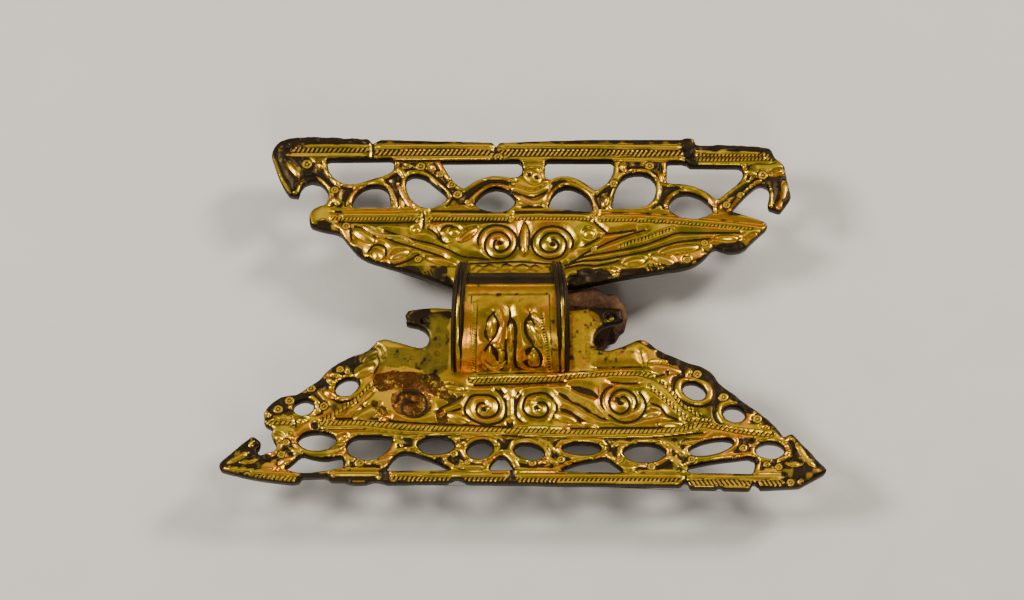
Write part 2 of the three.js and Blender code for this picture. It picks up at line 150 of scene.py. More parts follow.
# ---- relief: a height over the plan with four marks that the gilding reads
tints = {  # warmth, paleness, darkness from tarnish and painted shade; the two palest tints are painted highlights
    "gold": (0.5, 0.15, 0.0), "orange": (0.95, 0.1, 0.0), "olive": (0.15, 0.0, 0.08),
    # the pale pink and pale white tints are painted highlights: glints of facets put into the colour
    "pink": (0.9, 0.3, 0.0), "white": (0.6, 0.42, 0.0), "grey": (0.3, 0.5, 0.45),
    "brown": (0.9, 0.0, 0.56), "dark": (0.3, 0.1, 0.93), "moss": (0.1, 0.08, 0.56),
    "ochre": (0.62, 0.0, 0.47),
}
tone = {"warmth": 0.46, "warmWide": 0.46, "warmFine": 0.24, "paleness": 0.08, "paleFine": 0.12,
        "wide": 3.2, "fine": 0.9}
cut = {"far": 9.0, "reach": 2.2, "slope": 0.66, "cap": 0.52, "floor": 0.02, "grooveSpan": (0.02, 0.15),
       "grooveDark": 0.96, "fineWidth": 0.5, "fineShare": 0.6, "endShare": 0.3, "taperRun": 2.2,
       "endLift": 0.3, "endRun": 0.5, "edgeLift": 0.3, "edgeWave": 0.16, "edgeSpan": (0.1, 0.3),
       "edgeDark": 0.95}
strip = {"foot": 0.16, "rise": 0.34, "riseShare": 0.3, "endRun": 0.7, "riseRun": 0.9, "moat": 0.18,
         "moatFloor": 0.03, "dark": 0.8, "endShare": 0.45}
leaf = {"foot": 0.12, "rise": 0.42, "moat": 1.1, "dark": 0.75}
punch = {"faint": 0.36, "reach": 1.6, "inside": 1.35, "foot": 0.14, "rise": 0.3, "dimple": 0.07}
billet = {"trough": 0.16, "rise": 0.11, "soft": 0.35, "wobble": 0.12}
lump = {"height": 0.22, "coarse": 0.5, "fine": 0.3, "dark": 0.25, "warmth": 0.8}
rimForm = {"start": 0.14, "wave": 0.22, "foot": 0.1, "rise": 0.36, "soft": 0.25, "dark": 0.93}


def nearerEnd(along):
    # the run to the nearer end of a line
    return np.minimum(along, along.max() - along)


class Relief:
    def __init__(self, x0, x1, y0, y1, step, seed):
        self.step = step
        self.xs = np.arange(x0, x1, step)
        self.ys = np.arange(y0, y1, step)
        self.gridX, self.gridY = np.meshgrid(self.xs, self.ys)
        shape = self.gridX.shape
        wide, fine = self.drift(shape, tone["wide"], seed), self.drift(shape, tone["fine"], seed + 1)
        self.gap = np.full(shape, cut["far"])  # distance to the nearest cut line
        self.height, self.tarnish, self.rust = np.zeros(shape), np.zeros(shape), np.zeros(shape)
        self.warmth = tone["warmth"] + tone["warmWide"] * wide + tone["warmFine"] * fine
        self.paleness = tone["paleness"] + tone["paleFine"] * fine
        self.trough = billet["trough"]  # floor of the billet rows
        self.endLift = cut["endLift"]  # how much shallower a cut ends

    def drift(self, shape, size, seed):
        # smooth random field with swells of this size in mm
        return unevenness(shape, size / self.step, seed)

    def window(self, low, high):
        # index ranges of the grid between two corners
        first = np.floor((np.array(low) - (self.xs[0], self.ys[0])) / self.step).astype(int)
        last = np.ceil((np.array(high) - (self.xs[0], self.ys[0])) / self.step).astype(int) + 1
        first, last = np.maximum(first, 0), np.maximum(last, 0)
        return slice(first[1], last[1]), slice(first[0], last[0])

    def shift(self, rise):
        # raised work shows higher up in a view from 60 degrees: y of the layout = y + rise
        self.ys = self.ys + rise
        self.gridY = self.gridY + rise

    def trace(self, points, reach):
        # distance |p - a - t (b - a)| to a smooth line, the run along it, and the side, in a window
        line = smoothLine(points)
        area = self.window(line.min(0) - reach, line.max(0) + reach)
        shape = self.gridX[area].shape
        distance, along, side = np.full(shape, reach), np.zeros(shape), np.ones(shape)
        run = 0.0
        for a, b in zip(line[:-1], line[1:]):
            whole = self.window(np.minimum(a, b) - reach, np.maximum(a, b) + reach)
            inner = tuple(slice(max(near.start - far.start, 0), max(near.stop - far.start, 0))
                          for near, far in zip(whole, area))
            x, y = self.gridX[area][inner] - a[0], self.gridY[area][inner] - a[1]
            step = b - a
            length = max(float(np.hypot(*step)), 1e-6)
            t = np.clip((x * step[0] + y * step[1]) / length ** 2, 0, 1)
            d = np.hypot(x - t * step[0], y - t * step[1])
            nearer = d < distance[inner]
            distance[inner] = np.where(nearer, d, distance[inner])
            along[inner] = np.where(nearer, run + t * length, along[inner])
            side[inner] = np.where(nearer, np.sign(step[0] * y - step[1] * x), side[inner])
            run += length
        return area, distance, along, side

    def near(self, x, y, radius, reach):
        # the window round a spot, and q = distance to it / radius
        span = reach * radius
        area = self.window((x - span, y - span), (x + span, y + span))
        return area, np.hypot(self.gridX[area] - x, self.gridY[area] - y) / radius

    def box(self, x0, x1, y0, y1, margin, soft):
        # the window round a rectangle, and a share that falls from 1 to 0 over its soft limits
        area = self.window((x0 - margin, y0 - margin), (x1 + margin, y1 + margin))
        x, y = self.gridX[area], self.gridY[area]
        within = np.minimum(np.minimum(x - x0, x1 - x), np.minimum(y - y0, y1 - y))
        return area, eased(within, -soft, soft)

    def darken(self, area, value):
        self.tarnish[area] = np.maximum(self.tarnish[area], value)

    def tint(self, area, share, name):
        # colours move towards the named tint by share
        warm, pale, dark = tints[name]
        self.warmth[area] += share * (warm - self.warmth[area])
        self.paleness[area] += share * (pale - self.paleness[area])
        self.tarnish[area] += share * (dark - self.tarnish[area])

    def cutLines(self, rows):
        # V cuts: gap = distance to the line less half its width, narrower and shallower at the ends
        for width, *points in rows:
            area, distance, along = self.trace(points, cut["reach"])[:3]
            end = nearerEnd(along)
            taper = cut["endShare"] + (1 - cut["endShare"]) * eased(end, 0, cut["taperRun"] * width)
            half = 0.5 * width * (cut["fineShare"] if width <= cut["fineWidth"] else 1)
            shallow = self.endLift * (1 - eased(end, 0, cut["endRun"]))
            self.gap[area] = np.minimum(self.gap[area], distance - half * taper + shallow)

    def settle(self, edge):
        # facets rise from the cuts and from the rim: cap tanh(slope gap / cap)
        gap = np.maximum(np.minimum(np.maximum(self.gap, 0), edge + cut["edgeLift"]), 0)
        self.height = cut["floor"] + cut["cap"] * np.tanh(gap * cut["slope"] / cut["cap"])
        self.darken(..., cut["grooveDark"] * (1 - eased(self.gap, *cut["grooveSpan"])))
        wavering = edge + cut["edgeWave"] * self.drift(edge.shape, 1.4, 7)  # arrises darkened under a wavering limit: worn tarnish and painted shade
        self.darken(..., cut["edgeDark"] * (1 - eased(wavering, *cut["edgeSpan"])))

    def strips(self, rows):
        # rounded gold strips: rise sqrt(1 - (d / half)^2), with a dark moat beside
        for width, name, *points in rows:
            area, distance, along = self.trace(points, width / 2 + 0.5)[:3]
            end = nearerEnd(along)
            half = width / 2 * (strip["endShare"] + (1 - strip["endShare"]) * eased(end, 0, strip["endRun"]))
            inside = distance < half
            crown = np.sqrt(np.clip(1 - (distance / half) ** 2, 0, 1))
            moat = np.clip(1 - (distance - half) / strip["moat"], 0, 1) * ~inside
            rise = min(strip["rise"], strip["riseShare"] * width)
            body = strip["foot"] + rise * crown * (0.35 + 0.65 * eased(end, 0, strip["riseRun"]))
            beside = self.height[area] * (1 - moat) + strip["moatFloor"] * moat
            self.height[area] = np.where(inside, body, beside)
            self.tint(area, np.where(inside, 0.8, 0.0), name)
            self.darken(area, strip["dark"] * moat ** 0.6)

    def leaves(self, rows):
        # pointed or round ended lobes: rise (1 - q)^0.9 with q = |u|^2.2 + |v|^1.7 over an ellipse
        for x0, y0, x1, y1, width, name in rows:
            middle = np.array([x0 + x1, y0 + y1]) / 2
            axis = np.array([x1 - x0, y1 - y0])
            length = max(float(np.hypot(*axis)) / 2, 0.3)
            axis = axis / (2 * length) if length > 0.3 else np.array([1.0, 0.0])
            reach = length + width + 0.5
            area = self.window(middle - reach, middle + reach)
            x, y = self.gridX[area] - middle[0], self.gridY[area] - middle[1]
            u = (x * axis[0] + y * axis[1]) / length
            v = (y * axis[0] - x * axis[1]) / (width / 2)
            q = np.abs(u) ** 2.2 + np.abs(v) ** 1.7
            inside = q < 1
            moat = (q >= 1) * np.clip(1 - (q - 1) / (leaf["moat"] / width), 0, 1)
            body = leaf["foot"] + leaf["rise"] * (1 - np.clip(q, 0, 1)) ** 0.9
            self.height[area] = np.where(inside, body, self.height[area] * (1 - moat) + cut["floor"] * moat)
            self.tint(area, np.where(inside, 0.85, 0.0), name)
            self.darken(area, leaf["dark"] * moat)

    def scribe(self, rows):
        # shallow lines that leave the facets as they are
        for width, *points in rows:
            area, distance = self.trace(points, width)[:2]
            depth = 1 - eased(distance, 0.3 * width, width)
            self.height[area] -= 0.3 * width * depth
            self.darken(area, 0.8 * depth)

    def dimples(self, rows):
        # small faint rings struck into the surface: a groove at 0.85 r and a dot
        for x, y, radius in rows:
            area, q = self.near(x, y, radius, punch["reach"])
            groove = (1 - eased(np.abs(q - 0.85), 0.1, 0.42)) + 0.7 * (1 - eased(q, 0.1, 0.35))
            self.height[area] -= punch["dimple"] * groove
            self.darken(area, 0.5 * np.minimum(groove, 1))

    def punches(self, rows):
        # ring and dot: a dot to 0.3 r, a cut to 0.6 r, a ring to r, a cut outside it
        for x, y, radius in rows:
            area, q = self.near(x, y, radius, punch["reach"])
            inside = q < punch["inside"]
            dot = 1 - eased(q, 0.22, 0.36)
            ring = eased(q, 0.5, 0.64) * (1 - eased(q, 1.0, 1.15))
            body = punch["foot"] + punch["rise"] * radius * np.maximum(dot, ring)
            self.height[area] = np.where(inside, body, self.height[area])
            self.tint(area, np.where(inside, 0.9, 0.0), "gold")
            self.tarnish[area] = np.where(inside, 0.95 * (1 - np.maximum(dot, ring)), self.tarnish[area])
            self.paleness[area] = np.where(inside, 0.1 + 0.25 * dot, self.paleness[area])

    def billets(self, rows):
        # a trough with slanted bars where cos(2 pi (run + slant d) / spacing) > cos(pi share)
        for width, spacing, slant, share, name, *points in rows:
            area, distance, along, side = self.trace(points, width / 2 + 0.3)
            inside = distance < width / 2
            wobble = billet["wobble"] * self.drift(distance.shape, 1.6, len(rows) + int(width * 10))
            wave = np.cos(2 * math.pi * (along - slant * side * distance + wobble * spacing) / spacing)
            level = math.cos(math.pi * share)
            bar = eased(wave, level - billet["soft"], level + billet["soft"])
            body = self.trough + billet["rise"] * spacing * bar
            self.height[area] = np.where(inside, body, self.height[area])
            self.tint(area, np.where(inside, 0.7 * bar, 0.0), name)
            self.tarnish[area] = np.where(inside, 0.97 * (1 - bar) + 0.03, self.tarnish[area])

    def shade(self, rows, name, soft=0.5):
        # stains along a line: share falls from 1 at the line's width to 0 beyond the soft, wavering edge
        for width, *points in rows:
            area, distance = self.trace(points, width / 2 + soft + 0.4)[:2]
            distance = distance + 0.3 * self.drift(distance.shape, 1.1, len(points) // 2)
            share = 1 - eased(distance, width / 2, width / 2 + soft)
            if name == "rust":
                self.rust[area] = np.maximum(self.rust[area], share)
            else:
                self.tint(area, 0.85 * share, name)

    def worn(self, rows):
        # black outer ridges that the gilding has left: lumps of two sizes under a wavering limit
        for width, *points in rows:
            area, distance = self.trace(points, width / 2 + 0.9)[:2]
            shape = distance.shape
            distance = distance + 0.45 * self.drift(shape, 1.3, len(points) // 2 + 3)
            share = 1 - eased(distance, width / 2, width / 2 + lump["dark"])
            rough = lump["coarse"] * self.drift(shape, 1.5, 15) + lump["fine"] * self.drift(shape, 0.7, 16)
            left = eased(self.drift(shape, 1.2, 17), 0.35, 0.75)  # gilding left in places
            self.height[area] += share * (lump["height"] + 0.3 * rough - self.height[area])
            self.tint(area, share * (1 - 0.7 * left), "dark")
            self.warmth[area] += share * left * (lump["warmth"] - self.warmth[area])

    def rims(self, edge, rows):
        # openwork: a gilt rim sqrt(1 - q^2) round each hole, q = (edge - middle) / half, dark inside it
        for x0, x1, y0, y1, width in rows:
            area, part = self.box(x0, x1, y0, y1, 0.3, rimForm["soft"])
            half = width / 2 * (1 + rimForm["wave"] * self.drift(part.shape, 2.2, 9))
            q = (edge[area] - rimForm["start"] - half) / half
            crown = np.sqrt(np.clip(1 - q ** 2, 0, 1))
            line = eased(q, 0.75, 1.1) * (1 - eased(q, 1.9, 2.6))
            body = rimForm["foot"] + rimForm["rise"] * crown - 0.06 * line
            self.height[area] += part * np.maximum(crown, line) * (body - self.height[area])
            self.tarnish[area] += part * crown * (0.04 - self.tarnish[area])
            self.darken(area, rimForm["dark"] * part * line)

    def spots(self, rows):
        # small dark pits
        for x, y, radius in rows:
            area, q = self.near(x, y, radius, 2)
            pit = 1 - eased(q, 0.7, 1.2)
            self.height[area] *= 1 - 0.85 * pit
            self.darken(area, 0.95 * pit)

    def ground(self, rows):
        # worn dark fields between soft limits, broken up, which the gold strips then stand on
        for x0, x1, y0, y1, share in rows:
            area, part = self.box(x0, x1, y0, y1, 0.4, 0.3)
            patchy = 0.6 + 0.4 * eased(self.drift(part.shape, 0.9, 5), -0.5, 0.5)
            self.darken(area, share * part * patchy)

    def roughen(self, seed):
        # cast and worn surface: three scales of small unevenness, then rubbed and grimed
        shape = self.gridX.shape
        for depth, size, turn in ((0.04, 2.6, 0), (0.018, 0.9, 1), (0.006, 0.35, 2)):
            self.height += depth * self.drift(shape, size, seed + turn)
        for axis in (0, 1):  # the grid's own steps are rubbed away
            beside = np.roll(self.height, 1, axis) + 2 * self.height + np.roll(self.height, -1, axis)
            self.height = beside / 4
        grime = self.drift(shape, 1.1, seed + 3) + 0.7 * self.drift(shape, 0.4, seed + 4)
        self.tarnish = np.clip(self.tarnish + 0.3 * eased(grime, 0.55, 1.3) * (1 - self.paleness), 0, 1)


# ---- the plates' plan, cut from the frame just under the front plane
def planCut(node, depth):
    # where each triangle crosses the level: p = a + (b - a) s_a / (s_a - s_b) on its two crossing edges
    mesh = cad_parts[node].data
    mesh.calc_loop_triangles()
    points = np.empty(len(mesh.vertices) * 3)
    mesh.vertices.foreach_get("co", points)
    corners = np.empty(len(mesh.loop_triangles) * 3, dtype=np.int32)
    mesh.loop_triangles.foreach_get("vertices", corners)
    triangles = points.reshape(-1, 3)[corners].reshape(-1, 3, 3) * 1000.0 - origin
    rise = triangles[:, :, 2] + depth
    crossing = (rise.min(1) < 0) & (rise.max(1) > 0)
    triangles, rise = triangles[crossing], rise[crossing]
    ends = []
    for a, b in ((0, 1), (1, 2), (2, 0)):
        share = rise[:, a] / np.where(rise[:, a] == rise[:, b], 1.0, rise[:, a] - rise[:, b])
        place = triangles[:, a, :2] + (triangles[:, b, :2] - triangles[:, a, :2]) * share[:, None]
        place[rise[:, a] * rise[:, b] > 0] = np.nan
        ends.append(place)
    ends = np.stack(ends, axis=1)
    chosen = ~np.isnan(ends[:, :, 0])
    return ends[chosen].reshape(-1, 2, 2)


def insideDistance(relief, segments, reach=3.0, smoothing=7):
    # distance to the outline, positive inside by counting crossings along each row
    distance = np.full(relief.gridX.shape, reach)
    flips = np.zeros((relief.gridX.shape[0], relief.gridX.shape[1] + 1), dtype=int)
    for a, b in segments:
        area = relief.window(np.minimum(a, b) - reach, np.maximum(a, b) + reach)
        x, y = relief.gridX[area] - a[0], relief.gridY[area] - a[1]
        step = b - a
        t = np.clip((x * step[0] + y * step[1]) / max(step @ step, 1e-12), 0, 1)
        distance[area] = np.minimum(distance[area], np.hypot(x - t * step[0], y - t * step[1]))
        rows = np.nonzero((relief.ys > min(a[1], b[1])) & (relief.ys <= max(a[1], b[1])))[0]
        if len(rows):
            crossX = a[0] + (relief.ys[rows] - a[1]) * step[0] / step[1]
            columns = np.ceil((crossX - relief.xs[0]) / relief.step).astype(int)
            np.add.at(flips, (rows, np.clip(columns, 0, relief.gridX.shape[1])), 1)
    inside = np.cumsum(flips, axis=1)[:, :-1] % 2 == 1
    signed = np.where(inside, distance, -distance)
    for _ in range(smoothing):
        for axis in (0, 1):
            signed = (np.roll(signed, 1, axis) + 2 * signed + np.roll(signed, -1, axis)) / 4
    return signed


# the rim darkness is worn tarnish with painted shade; the wall darkness is painted shade
plateShape = {"step": 0.135, "thickness": 1.6, "edgeRound": 0.3, "backRound": 0.14, "wallSlant": 0.22,
              "backInset": 0.06, "split": 1.0, "cutDepth": 0.813, "rimDark": 0.85, "wallPaintedShade": 0.95}


def platePiece(name, relief, signed):
    # height over the cells inside the outline, outer points pulled onto it by p - s grad s, walls below
    # them, and a flat back
    gradY, gradX = np.gradient(signed, relief.step)
    steep = np.maximum(np.hypot(gradX, gradY), 1e-6)
    gradX, gradY = gradX / steep, gradY / steep
    within = signed > 0
    cells = within[:-1, :-1] & within[:-1, 1:] & within[1:, :-1] & within[1:, 1:]
    fall = np.clip(1 - signed / plateShape["edgeRound"], 0, 1)
    front = relief.height - plateShape["edgeRound"] * (1 - np.sqrt(1 - fall ** 2))
    number = np.full(within.shape, -1)
    used = np.zeros(within.shape, dtype=bool)
    for i, j in ((0, 0), (0, 1), (1, 0), (1, 1)):
        used[i:used.shape[0] - 1 + i, j:used.shape[1] - 1 + j] |= cells
    filled = np.pad(cells, 1)
    full = filled[:-1, :-1] & filled[:-1, 1:] & filled[1:, :-1] & filled[1:, 1:]
    rim = used & ~full
    number[used] = np.arange(used.sum())
    x = relief.gridX - np.where(rim, signed * gradX, 0)
    y = relief.gridY - np.where(rim, signed * gradY, 0)
    front = np.where(rim, relief.height - plateShape["edgeRound"], front)
    top = np.stack([x[used], y[used], front[used]], axis=-1)
    r, c = np.nonzero(cells)
    quads = np.stack([number[r, c], number[r, c + 1], number[r + 1, c + 1], number[r + 1, c]], axis=-1)
    edges = []  # rim edges, with the cell on their left
    for (a, b), (di, dj) in {((0, 0), (0, 1)): (-1, 0), ((0, 1), (1, 1)): (0, 1),
                             ((1, 1), (1, 0)): (1, 0), ((1, 0), (0, 0)): (0, -1)}.items():
        outer = ~filled[r + 1 + di, c + 1 + dj]
        start, stop = number[r + a[0], c + a[1]], number[r + b[0], c + b[1]]
        edges.append(np.stack([start[outer], stop[outer]], axis=-1))
    edges = np.concatenate(edges)
    rimNumbers = np.unique(edges)
    place = np.full(len(top), -1)
    place[rimNumbers] = np.arange(len(rimNumbers))
    inward = np.stack([gradX[used], gradY[used]], axis=-1)[rimNumbers]
    thick, slant = plateShape["thickness"], plateShape["wallSlant"]
    levels = [(-thick * 0.4, 0.15 * slant), (-thick + plateShape["backRound"], 0.85 * slant),
              (-thick, slant + plateShape["backInset"])]
    points, faces, count = [top], [quads], len(top)
    previous = edges
    for depth, inset in levels:
        ring = np.column_stack([top[rimNumbers, :2] + inward * inset, np.full(len(rimNumbers), depth)])
        lower = count + place[edges]
        faces.append(np.stack([previous[:, 1], previous[:, 0], lower[:, 0], lower[:, 1]], axis=-1))
        points.append(ring)
        previous = lower
        count += len(ring)
    lastRing = points[-1]
    flatPoints = [Vector(p[:2]) for p in lastRing.tolist()]
    flat = delaunay_2d_cdt(flatPoints, place[edges].tolist(), [], 0, 1e-6, True)
    source = np.array([first[0] if first else -1 for first in flat[3]])
    added = np.nonzero(source < 0)[0]  # where two walls of a thin strand cross
    source[added] = len(lastRing) + np.arange(len(added))
    crossings = np.array([(*flat[0][k], -thick) for k in added]).reshape(-1, 3)
    points.append(crossings)
    backPoints = np.concatenate([lastRing, crossings])
    back = source[np.array([face for face in flat[2] if len(face) == 3])]
    ends = backPoints[back][:, :, :2]
    middle = ends.mean(1)
    turn = ((ends[:, 1, 0] - ends[:, 0, 0]) * (ends[:, 2, 1] - ends[:, 0, 1])
            - (ends[:, 1, 1] - ends[:, 0, 1]) * (ends[:, 2, 0] - ends[:, 0, 0]))
    back = np.where((turn > 0)[:, None], back[:, ::-1], back)
    spot = np.rint((middle - (relief.xs[0], relief.ys[0])) / relief.step).astype(int)
    deep = signed[np.clip(spot[:, 1], 0, signed.shape[0] - 1), np.clip(spot[:, 0], 0, signed.shape[1] - 1)]
    held = deep > 0.8 * slant
    faces.append(back[held] + count - len(lastRing))
    marks = {}
    dark = np.maximum(relief.tarnish, plateShape["rimDark"])
    dark = np.where(rim, dark, relief.tarnish)  # the arris is darkened: worn tarnish and painted shade
    # the walls get near-black painted shade
    for mark, values, wall in (("tarnish", dark, plateShape["wallPaintedShade"]), ("warmth", relief.warmth, 0.55),
                               ("paleness", relief.paleness, 0.05), ("rust", relief.rust, None)):
        upper = values[used]
        ring = upper[rimNumbers] if wall is None else np.full(len(rimNumbers), wall)
        marks[mark] = np.concatenate([upper] + [ring] * len(levels) + [np.full(len(crossings), 0.5)])
    piece = makeMesh(name, np.concatenate(points), faces, marks)
    print("stage:", name, "triangles", sum(len(part) * (part.shape[1] - 2) for part in faces))
    return piece


outline = planCut("brooch_body", plateShape["cutDepth"])
print("stage: outline cut,", len(outline), "edges")

